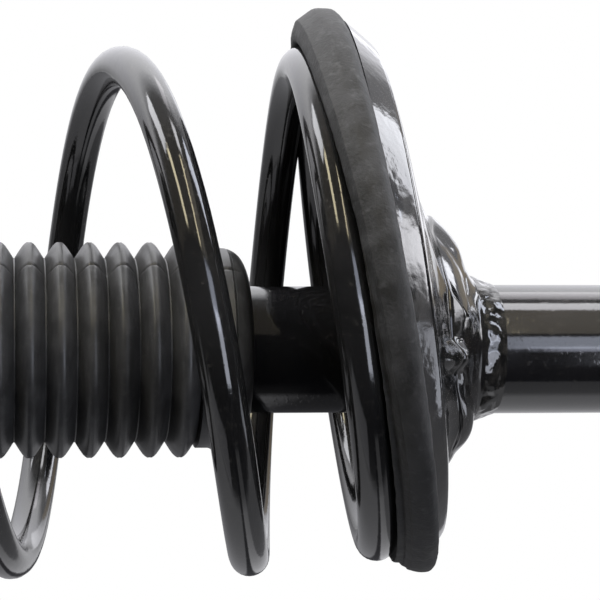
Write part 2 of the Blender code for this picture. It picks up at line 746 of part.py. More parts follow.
def make_studs(pivot):
    """Three mounting studs, each with its head under the plate."""
    for number in range(3):
        x, y = arc(STUD_CIRCLE, 120.0 * number, 120.0 * number, 1)[0]
        stud = turned(f"mount_stud_{number + 1}", [
            (0.0, PLATE_HEIGHT - 0.0045),
            (0.0085, PLATE_HEIGHT - 0.0045),
            (0.0085, PLATE_HEIGHT - GAP),
            (STUD_RADIUS, PLATE_HEIGHT - GAP),
            (STUD_RADIUS, STUD_TOP - 0.0012),
            (STUD_RADIUS - 0.0012, STUD_TOP),
            (0.0, STUD_TOP),
        ], "zinc_steel", pivot, steps=12)
        stud.location.x += x
        stud.location.y += y


def make_rod_nut(pivot):
    """Washer and hexagon nut on the rod's threaded end."""
    turned("rod_washer", chamfered_washer(
        ROD_THREAD_RADIUS + GAP, 0.0210, NUT_LOW - 0.0030, NUT_LOW - GAP, 0.0006),
        "zinc_steel", pivot, steps=SMALL_STEPS)
    hexagon = arc(NUT_CORNER, 0.0, 300.0, 5)
    nut = extruded("rod_nut", hexagon, NUT_LOW, NUT_HIGH, "zinc_steel", pivot)
    drill(nut, "cut_rod_nut", (0.0, 0.0, NUT_LOW - 0.01), (0.0, 0.0, NUT_HIGH + 0.01),
          ROD_THREAD_RADIUS + GAP)


# ---------------------------------------------------------------- brackets on the tube

def clevis_side(corner, radius):
    """Half of a clevis outline: straight cheek, then tangent onto a circle round the tube."""
    reach = math.atan2(corner.y, corner.x)
    tangent = math.degrees(reach + math.acos(radius / corner.length))
    return [Vector((CLEVIS_REACH, corner.y)), corner] + arc(radius, tangent, 180.0, 12)


def make_knuckle_bracket(pivot):
    """Clevis wrapped round the tube with two bolt holes for the steering knuckle."""
    inner = clevis_side(Vector((CLEVIS_NECK, CLEVIS_HALF_GAP)), TUBE_RADIUS + GAP)
    outer = clevis_side(
        Vector((CLEVIS_NECK + 0.0010, CLEVIS_HALF_GAP + BRACKET_SHEET)),
        TUBE_RADIUS + GAP + BRACKET_SHEET)
    mirrored = [Vector((point.x, -point.y)) for point in reversed(inner[:-1])]
    outline = inner + mirrored
    outline += [Vector((point.x, -point.y)) for point in outer[:-1]]
    outline += list(reversed(outer))
    bracket = extruded("knuckle_bracket", outline, BRACKET_FOOT, BRACKET_TOP, "gloss_black", pivot)
    for number, height in enumerate(BOLT_HEIGHTS):
        drill(bracket, f"cut_knuckle_bolt_{number + 1}",
              (BOLT_X, -0.05, height), (BOLT_X, 0.05, height), BOLT_HOLE_RADIUS)
    ring_sector("bracket_upper_weld", TUBE_RADIUS + GAP, 0.0035, BRACKET_TOP + GAP,
                85.0, 275.0, "weld_black", pivot)


def make_tab(name, side, height, width, sheet, reach, hole, pivot):
    """A tab wrapped onto the tube's side and standing straight out along Y, with one hole."""
    inner = TUBE_RADIUS + GAP
    foot = arc(inner, 60.0, 100.0, 6)
    back = arc(inner + sheet, 60.0, 100.0 - 3.0, 6)
    face = foot[-1].x
    outline = foot + [
        Vector((face, reach)),
        Vector((face + sheet, reach)),
        Vector((face + sheet, inner + sheet + 0.001)),
    ]
    outline += [point for point in reversed(back) if point.x > face + sheet + 0.001]
    outline = [Vector((point.x, side * point.y)) for point in outline]
    tab = extruded(name, outline, height, height + width, "gloss_black", pivot)
    middle = height + width / 2.0
    hole_y = side * (reach - width / 2.0)
    drill(tab, f"cut_{name}", (-0.03, hole_y, middle), (0.03, hole_y, middle), hole)
    start, end = (60.0, 100.0) if side > 0 else (260.0, 300.0)
    ring_sector(f"{name}_weld", inner, 0.0025, height + width + GAP, start, end, "weld_black", pivot)


def build():
    """Make every piece of the strut."""
    clear_scene()
    mount = make_pivot("top_mount_origin", ROD_SHOULDER)
    cage = make_pivot("bearing_cage_pivot", UPPER_SEAT_HEIGHT)
    swivel = make_pivot("spring_swivel_pivot", UPPER_SEAT_HEIGHT)
    damper = make_pivot("damper_slide_pivot", TUBE_TOP)
    make_tube(damper)
    make_damper_inside(damper)
    make_lower_seat(damper)
    make_lower_isolator(damper)
    make_seat_weld(damper)
    make_knuckle_bracket(damper)
    make_tab("link_bracket", 1.0, 0.1290, 0.0260, 0.0050, 0.0560, 0.0062, damper)
    make_tab("hose_bracket", -1.0, 0.1320, 0.0180, 0.0025, 0.0500, 0.0052, damper)
    make_spring(swivel)
    make_boot(swivel)
    make_upper_seat(swivel)
    cup_floor = make_bearing(cage, swivel, mount) + GAP
    make_mount_core(mount, cup_floor)
    make_mount_plate(mount)
    make_studs(mount)
    make_rod_nut(mount)
    make_rod(mount)
    make_bump_stop(mount)


build()
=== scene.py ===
"""Looks of the suspension strut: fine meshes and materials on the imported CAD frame.

The strut stands upright, the damper axis is the Z axis and the lower spring seat
leans towards +X.  The camera lies on its side in front of it, as for a strut that
rests on a table.
"""

import json
import math

import bmesh
import bpy
from mathutils import Matrix, Vector, noise


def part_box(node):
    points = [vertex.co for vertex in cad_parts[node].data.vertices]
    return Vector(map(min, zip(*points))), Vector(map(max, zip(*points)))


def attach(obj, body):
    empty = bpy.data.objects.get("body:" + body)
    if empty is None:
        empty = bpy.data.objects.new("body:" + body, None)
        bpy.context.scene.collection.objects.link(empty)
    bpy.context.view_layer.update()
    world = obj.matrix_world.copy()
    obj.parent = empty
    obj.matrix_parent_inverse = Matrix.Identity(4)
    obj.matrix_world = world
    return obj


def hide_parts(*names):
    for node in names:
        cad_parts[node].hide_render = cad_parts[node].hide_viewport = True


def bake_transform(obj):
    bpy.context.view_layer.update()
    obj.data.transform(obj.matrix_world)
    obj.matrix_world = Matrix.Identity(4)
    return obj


NOISE_SEED = 1                  # keeps the roughness of rubber and welds the same each run
noise.seed_set(NOISE_SEED)

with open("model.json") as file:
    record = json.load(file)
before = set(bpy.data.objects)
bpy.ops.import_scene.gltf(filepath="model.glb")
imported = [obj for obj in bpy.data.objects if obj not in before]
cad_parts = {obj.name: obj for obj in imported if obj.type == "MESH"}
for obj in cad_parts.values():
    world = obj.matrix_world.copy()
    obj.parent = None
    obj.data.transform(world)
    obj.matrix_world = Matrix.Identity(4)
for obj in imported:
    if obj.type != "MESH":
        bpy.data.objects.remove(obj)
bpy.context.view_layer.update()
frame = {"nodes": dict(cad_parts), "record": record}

# ---------------------------------------------------------------- dimensions from the frame

TAU = 2.0 * math.pi
GAP = 0.0003
FINE_STEPS = 128                # facets around a large turned piece
SMALL_STEPS = 64                # around a small one
SHANK_STEPS = 40                # around a threaded shank
SEAT_STEPS = 360                # around the lower seat and its weld


def low_corner(node):
    """Lowest corner of a CAD node."""
    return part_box(node)[0]


def high_corner(node):
    """Highest corner of a CAD node."""
    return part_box(node)[1]


def levels(node):
    """Heights of a CAD node's foot and top."""
    return low_corner(node).z, high_corner(node).z


TUBE_RADIUS = high_corner("damper_tube").y
TUBE_TOP_RADIUS = TUBE_RADIUS - 0.0005
TUBE_BORE = TUBE_RADIUS - 0.0030
TUBE_FOOT, TUBE_TOP = levels("damper_tube")
ROD_RADIUS = 0.0110
ROD_THREAD_RADIUS = 0.0070
ROD_LOW, ROD_TOP = levels("piston_rod")
ROD_PISTON_END = 0.2600         # where the rod steps down to carry the piston
ROD_SHOULDER = low_corner("bump_stop_cup").z + 0.0107

SEAT_RADIUS = 0.0940            # outside of the steel rim of the lower seat
SEAT_OFFSET = high_corner("lower_spring_seat").x - SEAT_RADIUS
SEAT_HEIGHT = 0.2350
SEAT_SLOPE = Vector((0.142, -0.113))
COLLAR_FOOT = low_corner("lower_spring_seat").z
COLLAR_TOP = 0.2060
CONE_RADIUS = 0.0640            # where the seat's cone meets its flat dish
LIP_RADIUS = high_corner("lower_isolator").y
GUSSETS = 6                     # folds pressed into the seat's cone
GUSSET_ANGLE = math.radians(-72.0)
GUSSET_SKEW = math.radians(30.0)        # how far a fold turns from the collar to the rim
GUSSET_DEPTHS = (0.0012, 0.0030)        # shallow and deep gussets take turns
GUSSET_HALF_WIDTH = 0.0180
BEADS = 3                       # round beads that stand out straight from the tube
BEAD_ANGLE = math.radians(-91.5)
BEAD_START = 0.0430             # distance of a bead's end from the tube's axis
BEAD_RADIUS = 0.0062
BEAD_DEPTH = 0.0040

# The spring's coil, worked out as in the CAD source
SPRING_RADIUS = 0.0842
END_COIL_RADIUS = 0.0823
WIRE_RADIUS = 0.00675
SPRING_PITCH = 0.0810
SPRING_OFFSET = 0.0132
END_COIL_OFFSET = 0.0160
COIL_HEIGHT = 0.3207
COIL_LEAN = 0.039
LOW_CLOSING = 0.476
LOW_TIP = 1.917
TOP_CLOSING = 1.917
TOP_TIP = 3.560
CLOSING_TURNS = 0.806
LOW_END_PITCH = 0.0070
TOP_END_PITCH = 0.0030
LEAN_START = 0.55
LEAN_TURNS = 0.70

BOOT_FOOT, BOOT_TOP = levels("dust_boot")
BOOT_RIDGE_RADIUS = high_corner("dust_boot").x
BOOT_VALLEY_RADIUS = BOOT_RIDGE_RADIUS - 0.0055
BOOT_MOUTH_RADIUS = 0.0262
BOOT_WALL = 0.0018
BOOT_PITCH = 0.01034
BOOT_FIRST_RIDGE = BOOT_FOOT + 0.0229
BOOT_RIDGES = 20

UPPER_SEAT_HEIGHT = low_corner("bearing_lower_race").z - 0.0033
UPPER_SEAT_RADIUS = 0.0960
SEAT_SHEET = 0.0030
BEARING_INNER = 0.0340
BEARING_OUTER = 0.0460
PLATE_LOW, PLATE_HIGH = levels("mount_plate")
PLATE_RADIUS = 0.0580
PLATE_LOBE = 0.0120
PLATE_HOLE = 0.0270
STUD_CIRCLE = 0.0570
STUD_RADIUS = 0.0050
STUD_HEAD_RADIUS = 0.0085
STUD_TOP = high_corner("mount_stud_1").z
THREAD_PITCH = 0.0015

BRACKET_FOOT, BRACKET_TOP = levels("knuckle_bracket")
CLEVIS_REACH = high_corner("knuckle_bracket").x
BRACKET_SHEET = 0.0045
CLEVIS_HALF_GAP = 0.0160
CLEVIS_NECK = 0.0360
BOLT_HOLE_RADIUS = 0.0072
BOLT_X = 0.0580
BOLT_INSET = 0.0210
BOLT_HEIGHTS = (BRACKET_FOOT + BOLT_INSET, BRACKET_TOP - BOLT_INSET)

# ---------------------------------------------------------------- materials


class Nodes:
    """Short ways to add nodes to the tree of a material or of the world."""

    def __init__(self, tree):
        self.tree = tree

    def node(self, kind, **settings):
        """Add a node and set its properties and unlinked inputs."""
        made = self.tree.nodes.new(kind)
        for key, value in settings.items():
            if hasattr(made, key):
                setattr(made, key, value)
            else:
                made.inputs[key.replace("_", " ").title()].default_value = value
        return made

    def feed(self, socket, value):
        """Give a socket another node's output, a colour or a number."""
        if isinstance(value, bpy.types.NodeSocket):
            self.tree.links.new(value, socket)
        elif isinstance(value, tuple):
            socket.default_value = (*value, 1.0)
        else:
            socket.default_value = value

    def ramp(self, value, start, end, low=0.0, high=1.0):
        """Spread a value from start..end to low..high, clamped."""
        made = self.node(
            "ShaderNodeMapRange", from_min=start, from_max=end, to_min=low, to_max=high)
        self.feed(made.inputs["Value"], value)
        return made.outputs["Result"]

    def mix(self, factor, first, second, blend="MIX"):
        """Mix, multiply or add two colours."""
        made = self.node("ShaderNodeMix", data_type="RGBA", blend_type=blend)
        self.feed(made.inputs["Factor"], factor)
        slots = [socket for socket in made.inputs if socket.type == "RGBA"]
        self.feed(slots[0], first)
        self.feed(slots[1], second)
        return next(socket for socket in made.outputs if socket.type == "RGBA")

    def math(self, operation, *values):
        """A Math node on outputs of other nodes or numbers."""
        made = self.node("ShaderNodeMath", operation=operation)
        for socket, value in zip(made.inputs, values):
            self.feed(socket, value)
        return made.outputs[0]


class Look(Nodes):
    """A Principled material whose colour, roughness and relief come from noise."""

    def __init__(self, name, roughness, metallic=0.0, specular=0.5):
        self.material = bpy.data.materials.new(name)
        self.material.use_nodes = True
        super().__init__(self.material.node_tree)
        self.shader = self.tree.nodes["Principled BSDF"]
        self.shader.inputs["Roughness"].default_value = roughness
        self.shader.inputs["Metallic"].default_value = metallic
        self.shader.inputs["Specular IOR Level"].default_value = specular
        self.place = self.node("ShaderNodeTexCoord").outputs["Object"]
        self.relief = None

    def noise(self, size, detail=3.0, stretch=(1.0, 1.0, 1.0)):
        """Noise whose features are about size across; stretch makes them longer."""
        place = self.node("ShaderNodeMapping")
        place.inputs["Scale"].default_value = [1.0 / amount for amount in stretch]
        self.feed(place.inputs["Vector"], self.place)
        made = self.node("ShaderNodeTexNoise", scale=1.0 / size, detail=detail)
        self.feed(made.inputs["Vector"], place.outputs["Vector"])
        return made.outputs["Fac"]

    def cells(self, size):
        """A scatter of cells about size across."""
        made = self.node("ShaderNodeTexVoronoi", scale=1.0 / size)
        self.feed(made.inputs["Vector"], self.place)
        return made.outputs

    def color(self, output):
        """Use a colour output as the base colour."""
        self.feed(self.shader.inputs["Base Color"], output)

    def roughness(self, output):
        """Use a value output as the roughness."""
        self.feed(self.shader.inputs["Roughness"], output)

    def bump(self, height, depth):
        """Add relief of the given depth in metres on top of any earlier relief."""
        made = self.node("ShaderNodeBump", strength=1.0, distance=depth)
        self.feed(made.inputs["Height"], height)
        if self.relief is not None:
            self.feed(made.inputs["Normal"], self.relief)
        self.relief = made.outputs["Normal"]
        self.feed(self.shader.inputs["Normal"], self.relief)


def gloss_paint(name, roughness, orange_peel, base=(0.0045, 0.0045, 0.005)):
    """Black stoving paint over steel: mirror-like, slightly uneven, with fine dust."""
    look = Look(name, roughness)
    dust = look.ramp(look.noise(0.0016, 4.0), 0.58, 0.74)
    patch = look.ramp(look.noise(0.030, 3.0), 0.35, 0.70)
    shade = look.mix(patch, base, tuple(part * 1.7 for part in base))
    thin_dust = look.math("MULTIPLY", dust, 0.35)
    look.color(look.mix(thin_dust, shade, (0.030, 0.028, 0.025)))
    look.roughness(look.ramp(patch, 0.0, 1.0, roughness, roughness * 1.8))
    look.bump(look.noise(0.0040, 2.0), orange_peel)
    look.bump(dust, 0.000010)
    return look.material


def wavy_paint(name):
    """Thick black paint that has run and sagged over a rough pressing."""
    look = Look(name, 0.07)
    patch = look.ramp(look.noise(0.012, 4.0), 0.36, 0.68)
    look.color(look.mix(patch, (0.0045, 0.0045, 0.005), (0.0085, 0.0080, 0.0075)))
    look.roughness(look.ramp(patch, 0.0, 1.0, 0.055, 0.11))
    look.bump(look.noise(0.0085, 2.0), 0.00022)
    look.bump(look.noise(0.0030, 3.0), 0.00005)
    return look.material


def weld_look(name):
    """Painted weld metal: glossy, dimpled and uneven."""
    look = Look(name, 0.10)
    patch = look.noise(0.0030, 4.0)
    look.color(look.mix(look.ramp(patch, 0.4, 0.7), (0.005, 0.005, 0.005), (0.014, 0.013, 0.012)))
    look.roughness(look.ramp(patch, 0.3, 0.7, 0.05, 0.14))
    look.bump(look.noise(0.0024, 2.0), 0.00016)
    return look.material


def rubber_look(name, dark, light, roughness, grain, relief, specular=0.5):
    """Moulded rubber: a mottled bloom over a fine, dull grain."""
    look = Look(name, roughness, specular=specular)
    bloom = look.ramp(look.noise(0.0075, 5.0), 0.36, 0.68)
    speck = look.ramp(look.noise(grain * 2.2, 3.0), 0.55, 0.75, 0.0, 0.5)
    look.color(look.mix(speck, look.mix(bloom, dark, light), tuple(part * 1.8 for part in light)))
    look.roughness(look.ramp(bloom, 0.0, 1.0, roughness * 0.88, min(roughness * 1.15, 1.0)))
    look.bump(look.noise(grain, 3.0), relief)
    look.bump(look.noise(grain * 7.0, 2.0), relief * 1.6)
    return look.material


def foam_look(name):
    """Cellular polyurethane: pale yellow with open pores."""
    look = Look(name, 0.8)
    pores = look.cells(0.0016)["Distance"]
    dirt = look.noise(0.012, 4.0)
    look.color(look.mix(look.ramp(dirt, 0.4, 0.7, 0.0, 0.7), (0.56, 0.50, 0.36), (0.30, 0.26, 0.19)))
    look.bump(pores, 0.0003)
    return look.material


def metal_look(name, dark, light, low, high, grain, stretch=(1.0, 1.0, 1.0)):
    """Bare or plated metal: patchy tone, drawn or turned grain, small scratches."""
    look = Look(name, low, metallic=1.0)
    tone = look.ramp(look.noise(grain * 9.0, 4.0), 0.35, 0.68)
    look.color(look.mix(tone, dark, light))
    lines = look.noise(grain, 4.0, stretch)
    look.roughness(look.ramp(lines, 0.3, 0.7, low, high))
    look.bump(lines, 0.00002)
    return look.material


def zinc_look(name):
    """Zinc plate with a yellowish passivate and a faint spangle."""
    look = Look(name, 0.34, metallic=1.0)
    tone = look.ramp(look.noise(0.011, 4.0), 0.36, 0.66)
    plated = look.mix(tone, (0.52, 0.50, 0.44), (0.66, 0.60, 0.44))
    split = look.node("ShaderNodeSeparateColor")
    look.feed(split.inputs["Color"], look.cells(0.0022)["Color"])
    spangle = look.math("MULTIPLY", split.outputs["Red"], 0.3)
    look.color(look.mix(spangle, plated, (0.75, 0.74, 0.70)))
    look.roughness(look.ramp(split.outputs["Green"], 0.0, 1.0, 0.26, 0.44))
    look.bump(look.noise(0.0007, 3.0), 0.00003)
    return look.material


def plastic_look(name, dark, light):
    """Moulded plastic with a fine satin texture."""
    look = Look(name, 0.45)
    look.color(look.mix(look.noise(0.010, 4.0), dark, light))
    look.roughness(look.ramp(look.noise(0.002, 2.0), 0.3, 0.7, 0.36, 0.52))
    look.bump(look.noise(0.0006, 2.0), 0.00002)
    return look.material


LOOKS = {
    "gloss_black": gloss_paint("painted_gloss_black", 0.060, 0.000016),
    "spring_black": gloss_paint("spring_powder_coat", 0.075, 0.000022, (0.0048, 0.0048, 0.0050)),
    "weld_black": weld_look("painted_weld"),
    "boot_rubber": rubber_look(
        "boot_rubber_satin", (0.0130, 0.0130, 0.0134), (0.0210, 0.0210, 0.0216),
        0.40, 0.0008, 0.00003, 0.30),
    "isolator_rubber": rubber_look(
        "isolator_rubber_dull", (0.007, 0.007, 0.007), (0.017, 0.017, 0.018),
        0.66, 0.0011, 0.00016, 0.28),
    "mount_rubber": rubber_look(
        "mount_rubber_dull", (0.009, 0.009, 0.009), (0.016, 0.016, 0.016), 0.60, 0.0009, 0.00005),
    "bump_foam": foam_look("bump_stop_foam"),
    "seal_rubber": rubber_look(
        "seal_rubber_brown", (0.020, 0.014, 0.011), (0.034, 0.024, 0.018), 0.50, 0.0007, 0.00002),
    "chromed_steel": metal_look(
        "hard_chrome", (0.72, 0.73, 0.75), (0.80, 0.81, 0.83), 0.05, 0.12, 0.0008, (6.0, 6.0, 1.0)),
    "zinc_steel": zinc_look("zinc_plate"),
    "plain_steel": metal_look(
        "turned_steel", (0.36, 0.36, 0.37), (0.47, 0.46, 0.45), 0.28, 0.46, 0.0006, (8.0, 8.0, 1.0)),
    "sintered_iron": metal_look(
        "sintered_iron_dull", (0.15, 0.15, 0.16), (0.24, 0.23, 0.22), 0.50, 0.70, 0.0009),
    "bearing_nylon": plastic_look("bearing_nylon_dark", (0.020, 0.020, 0.022), (0.034, 0.034, 0.036)),
    "piston_band_ptfe": plastic_look("piston_band_green", (0.04, 0.08, 0.07), (0.06, 0.10, 0.09)),
}

# ---------------------------------------------------------------- mesh helpers


def add_mesh(name, bm):
    """An object in the scene made from a bmesh."""
    mesh = bpy.data.meshes.new(name)
    bm.to_mesh(mesh)
    bm.free()
    made = bpy.data.objects.new(name, mesh)
    bpy.context.scene.collection.objects.link(made)
    return made


def finish_piece(node, bm, look, body, sharp_deg=38.0):
    """Make a finished piece that stands for a CAD node and rides on its body."""
    bmesh.ops.recalc_face_normals(bm, faces=bm.faces)
    piece = add_mesh(node + "_finished", bm)
    piece.data.shade_smooth()
    piece.data.set_sharp_from_angle(angle=math.radians(sharp_deg))
    piece.data.materials.append(LOOKS[look])
    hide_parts(node)
    if body:
        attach(piece, body)
    return piece


def join_rings(bm, rings, closed):
    """Skin a list of vertex rings; a one-vertex ring is a pole."""
    pairs = list(zip(rings, rings[1:]))
    if closed:
        pairs.append((rings[-1], rings[0]))
    for lower, upper in pairs:
        count = max(len(lower), len(upper))
        for step in range(count):
            after = (step + 1) % count
            if len(lower) == 1:
                corners = (lower[0], upper[after], upper[step])
            elif len(upper) == 1:
                corners = (lower[step], lower[after], upper[0])
            else:
                corners = (lower[step], lower[after], upper[after], upper[step])
            bm.faces.new(corners)


def skin_points(point_rings, closed=True):
    """A bmesh from rings of points; open rings are capped at both ends."""
    bm = bmesh.new()
    rings = [[bm.verts.new(point) for point in ring] for ring in point_rings]
    join_rings(bm, rings, closed)
    if not closed:
        if len(rings[0]) > 1:
            bm.faces.new(reversed(rings[0]))
        if len(rings[-1]) > 1:
            bm.faces.new(rings[-1])
    return bm


def skinned(node, rings, look, body, sharp_deg=38.0, closed=True):
    """A piece skinned over rings of points."""
    return finish_piece(node, skin_points(rings, closed), look, body, sharp_deg)


def round_corners(profile, radius, steps=4):
    """Replace the corners of a closed profile by short curves."""
    rounded = []
    for index, corner in enumerate(profile):
        here = Vector(corner)
        if here.x == 0.0:
            rounded.append(here)
            continue
        before = Vector(profile[index - 1]) - here
        after = Vector(profile[(index + 1) % len(profile)]) - here
        reach = min(radius, 0.45 * before.length, 0.45 * after.length)
        start = here + before.normalized() * reach
        end = here + after.normalized() * reach
        for step in range(steps + 1):
            share = step / steps
            rounded.append(
                start * (1.0 - share) ** 2 + here * 2.0 * share * (1.0 - share) + end * share ** 2)
    return rounded


def angles_of(steps):
    """Evenly spaced angles of a full turn."""
    return [TAU * step / steps for step in range(steps)]


def polar(reach, angle, height, x=0.0, y=0.0):
    """A point at a distance and angle from an upright axis."""
    return Vector((x + reach * math.cos(angle), y + reach * math.sin(angle), height))


def lathe(profile, angles, shape=None):
    """Turn a (radius, height) profile; shape(radius, angle, height) may move each point."""
    rings = []
    for radius, height in profile:
        if radius == 0.0:
            rings.append([Vector((0.0, 0.0, height))])
            continue
        ring = []
        for angle in angles:
            reach, level = (radius, height) if shape is None else shape(radius, angle, height)
            ring.append(polar(reach, angle, level))
        rings.append(ring)
    return skin_points(rings, closed=len(rings[0]) > 1)


def turned(node, profile, look, body, rounding=0.0006, steps=FINE_STEPS, shape=None):
    """A turned piece with softened corners."""
    outline = round_corners(profile, rounding)
    return finish_piece(node, lathe(outline, angles_of(steps), shape), look, body)


def flat_ring(node, inner, outer, look, body, rounding, steps=FINE_STEPS, shape=None):
    """A turned ring as high as its CAD node."""
    low, high = levels(node)
    profile = [(inner, low), (outer, low), (outer, high), (inner, high)]
    return turned(node, profile, look, body, rounding, steps, shape)


def smooth_line(points, steps):
    """Catmull-Rom curve through tuples of any length."""
    curve = []
    last = len(points) - 1
    for index in range(last):
        around = [points[min(max(index + offset, 0), last)] for offset in (-1, 0, 1, 2)]
        for step in range(steps):
            share = step / steps
            curve.append(tuple(
                0.5 * (2.0 * b + (c - a) * share + (2.0 * a - 5.0 * b + 4.0 * c - d) * share ** 2
                       + (3.0 * b - a - 3.0 * c + d) * share ** 3)
                for a, b, c, d in zip(*around)))
    curve.append(tuple(points[-1]))
    return curve


def bump_of(distance, width):
    """A smooth hump that is 1 at distance 0 and 0 from width on."""
    share = min(abs(distance) / width, 1.0)
    return (1.0 - share * share) ** 2


def angle_between(first, second):
    """Signed difference of two angles, wrapped to half a turn."""
    return (first - second + math.pi) % TAU - math.pi


def roughen(point, size, depth):
    """Push a point along smooth noise with features about size across."""
    return point + noise.noise_vector(point / size) * depth


def stud_spots():
    """Plan positions of the three studs."""
    return [polar(STUD_CIRCLE, angle, 0.0).to_2d() for angle in angles_of(3)]


def plain_ring(radius, height, x=0.0, y=0.0, steps=SHANK_STEPS):
    """One round ring of points."""
    return [polar(radius, angle, height, x, y) for angle in angles_of(steps)]


def arc(radius, start_deg, end_deg, steps):
    """Points on a circle about the damper axis, in plan."""
    points = []
    for step in range(steps + 1):
        angle = math.radians(start_deg + (end_deg - start_deg) * step / steps)
        points.append(polar(radius, angle, 0.0).to_2d())
    return points


def extruded(node, outline, low, high, look, body, holes, edge):
    """Extrude a plan outline, drill it, and soften its edges."""
    bm = skin_points([[(p.x, p.y, level) for p in outline] for level in (low, high)], closed=False)
    piece = finish_piece(node, bm, look, None)
    cutters = [drill(piece, *hole) for hole in holes]
    bevel = piece.modifiers.new("edge", "BEVEL")
    bevel.width = edge
    bevel.segments = 3
    bevel.limit_method = "ANGLE"
    bevel.angle_limit = math.radians(32.0)
    keep_result(piece)
    for cutter in cutters:
        bpy.data.objects.remove(cutter, do_unlink=True)
    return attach(piece, body)


def drill(piece, start, end, radius):
    """Add a Boolean that cuts a round hole from start to end."""
    axis = Vector(end) - Vector(start)
    bm = bmesh.new()
    bmesh.ops.create_cone(
        bm, cap_ends=True, segments=48, radius1=radius, radius2=radius, depth=axis.length)
    turn = axis.to_track_quat("Z", "Y").to_matrix().to_4x4()
    bm.transform(Matrix.Translation((Vector(start) + Vector(end)) / 2.0) @ turn)
    cutter = add_mesh("cutter", bm)
    cut = piece.modifiers.new("cut", "BOOLEAN")
    cut.object = cutter
    return cutter


def keep_result(piece):
    """Apply a piece's modifiers."""
    bpy.context.view_layer.update()
    graph = bpy.context.evaluated_depsgraph_get()
    mesh = bpy.data.meshes.new_from_object(piece.evaluated_get(graph))
    piece.modifiers.clear()
    piece.data = mesh
    mesh.shade_smooth()
    mesh.set_sharp_from_angle(angle=math.radians(30.0))


# ---------------------------------------------------------------- spring and seat geometry

def fade(value):
    """Smooth step from 0 to 1."""
    value = min(max(value, 0.0), 1.0)
    return value * value * (3.0 - 2.0 * value)


def fade_area(value):
    """Integral of fade from 0 to value."""
    if value <= 0.0:
        return 0.0
    if value >= 1.0:
        return value - 0.5
    return value ** 3 - value ** 4 / 2.0


def coil_drop(turn):
    """Fall of the coil's centre from turn 0; turns count downwards."""
    low = (SPRING_PITCH - LOW_END_PITCH) * CLOSING_TURNS
    top = (SPRING_PITCH - TOP_END_PITCH) * CLOSING_TURNS
    drop = SPRING_PITCH * turn
    drop -= low * fade_area((turn - LOW_CLOSING) / CLOSING_TURNS)
    drop += top * fade_area((-turn - TOP_CLOSING) / CLOSING_TURNS)
    return drop


def wire_centre(turn):
    """Centre of the spring wire; the coil is right-handed and leans with its seats."""
    angle = -TAU * turn
    upper = fade((-turn - 0.5) / 2.0)
    lower = fade((turn - LEAN_START) / LEAN_TURNS)
    radius = SPRING_RADIUS + (END_COIL_RADIUS - SPRING_RADIUS) * lower
    offset = SPRING_OFFSET * (1.0 - upper) + (END_COIL_OFFSET - SPRING_OFFSET) * lower
    reach = Vector((math.cos(angle), math.sin(angle))) * radius
    lean = Vector((COIL_LEAN, 0.0)) * (1.0 - upper) * (1.0 - lower) + SEAT_SLOPE * lower
    height = COIL_HEIGHT - coil_drop(turn) + lean.dot(reach)
    return Vector((offset + reach.x, reach.y, height))


def seat_point(radius, angle, height, centre=1.0, tilt=1.0):
    """A point of the lower seat: circles slide from the tube axis to the rim's centre."""
    reach = Vector((math.cos(angle), math.sin(angle))) * radius
    return Vector((SEAT_OFFSET * centre + reach.x, reach.y, height + tilt * SEAT_SLOPE.dot(reach)))


def from_spring_centre(radius, angle):
    """Distance from the rim's centre to a circle drawn about the coil's centre."""
    shift = SEAT_OFFSET - END_COIL_OFFSET
    side = shift * math.sin(angle)
    return math.sqrt(radius * radius - side * side) - shift * math.cos(angle)


def coil_floor(angle):
    """Height of the isolator's floor over the rim plane, following the end coil."""
    turn = 2.0 - angle / TAU
    rest = []
    for at in (min(turn, LOW_TIP), 1.0):
        wire = wire_centre(at)
        plane = SEAT_HEIGHT + SEAT_SLOPE.dot(Vector((wire.x - SEAT_OFFSET, wire.y)))
        rest.append(wire.z - plane - WIRE_RADIUS - 2.0 * GAP)
    ramp = max(turn - LOW_TIP, 0.0) / (2.0 - LOW_TIP)
    return rest[0] + (rest[1] - rest[0]) * ramp


# ---------------------------------------------------------------- pieces seen in the middle

def make_spring():
    """Coil spring: round wire with sawn ends, squeezed between the two seats."""
    turns_per_ring = 1.0 / 72.0
    sides = 28
    count = round((LOW_TIP + TOP_TIP) / turns_per_ring)
    tip = 0.0016                # turns over which the sawn edge is broken
    turns = [LOW_TIP, LOW_TIP - tip]
    turns += [LOW_TIP - (LOW_TIP + TOP_TIP) * step / count for step in range(1, count)]
    turns += [tip - TOP_TIP, -TOP_TIP]
    rings = []
    for index, turn in enumerate(turns):
        radius = WIRE_RADIUS * (0.88 if index in (0, len(turns) - 1) else 1.0)
        centre = wire_centre(turn)
        along = (wire_centre(turn - 0.01) - wire_centre(turn + 0.01)).normalized()
        outward = Vector((centre.x - SPRING_OFFSET, centre.y, 0.0))
        outward = (outward - along * outward.dot(along)).normalized()
        upward = along.cross(outward)
        rings.append([
            centre + (outward * math.cos(angle) + upward * math.sin(angle)) * radius
            for angle in angles_of(sides)
        ])
    spring = skinned("coil_spring", rings, "spring_black", None, closed=False)
    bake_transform(spring)


def boot_ridge(height):
    """One bellows ridge: a round crest with a faint parting dip between sharp valleys."""
    deep = BOOT_RIDGE_RADIUS - BOOT_VALLEY_RADIUS
    half = BOOT_PITCH / 2.0
    # share of the half pitch from the crest, share of the depth from the valley
    flank = [(0.96, 0.0), (0.78, 0.27), (0.61, 0.52), (0.42, 0.77), (0.27, 0.91), (0.13, 0.99)]
    rise = [(-share, depth) for share, depth in flank] + [(0.0, 0.975)] + flank[::-1]
    return [(BOOT_VALLEY_RADIUS + deep * depth, height + half * share) for share, depth in rise]


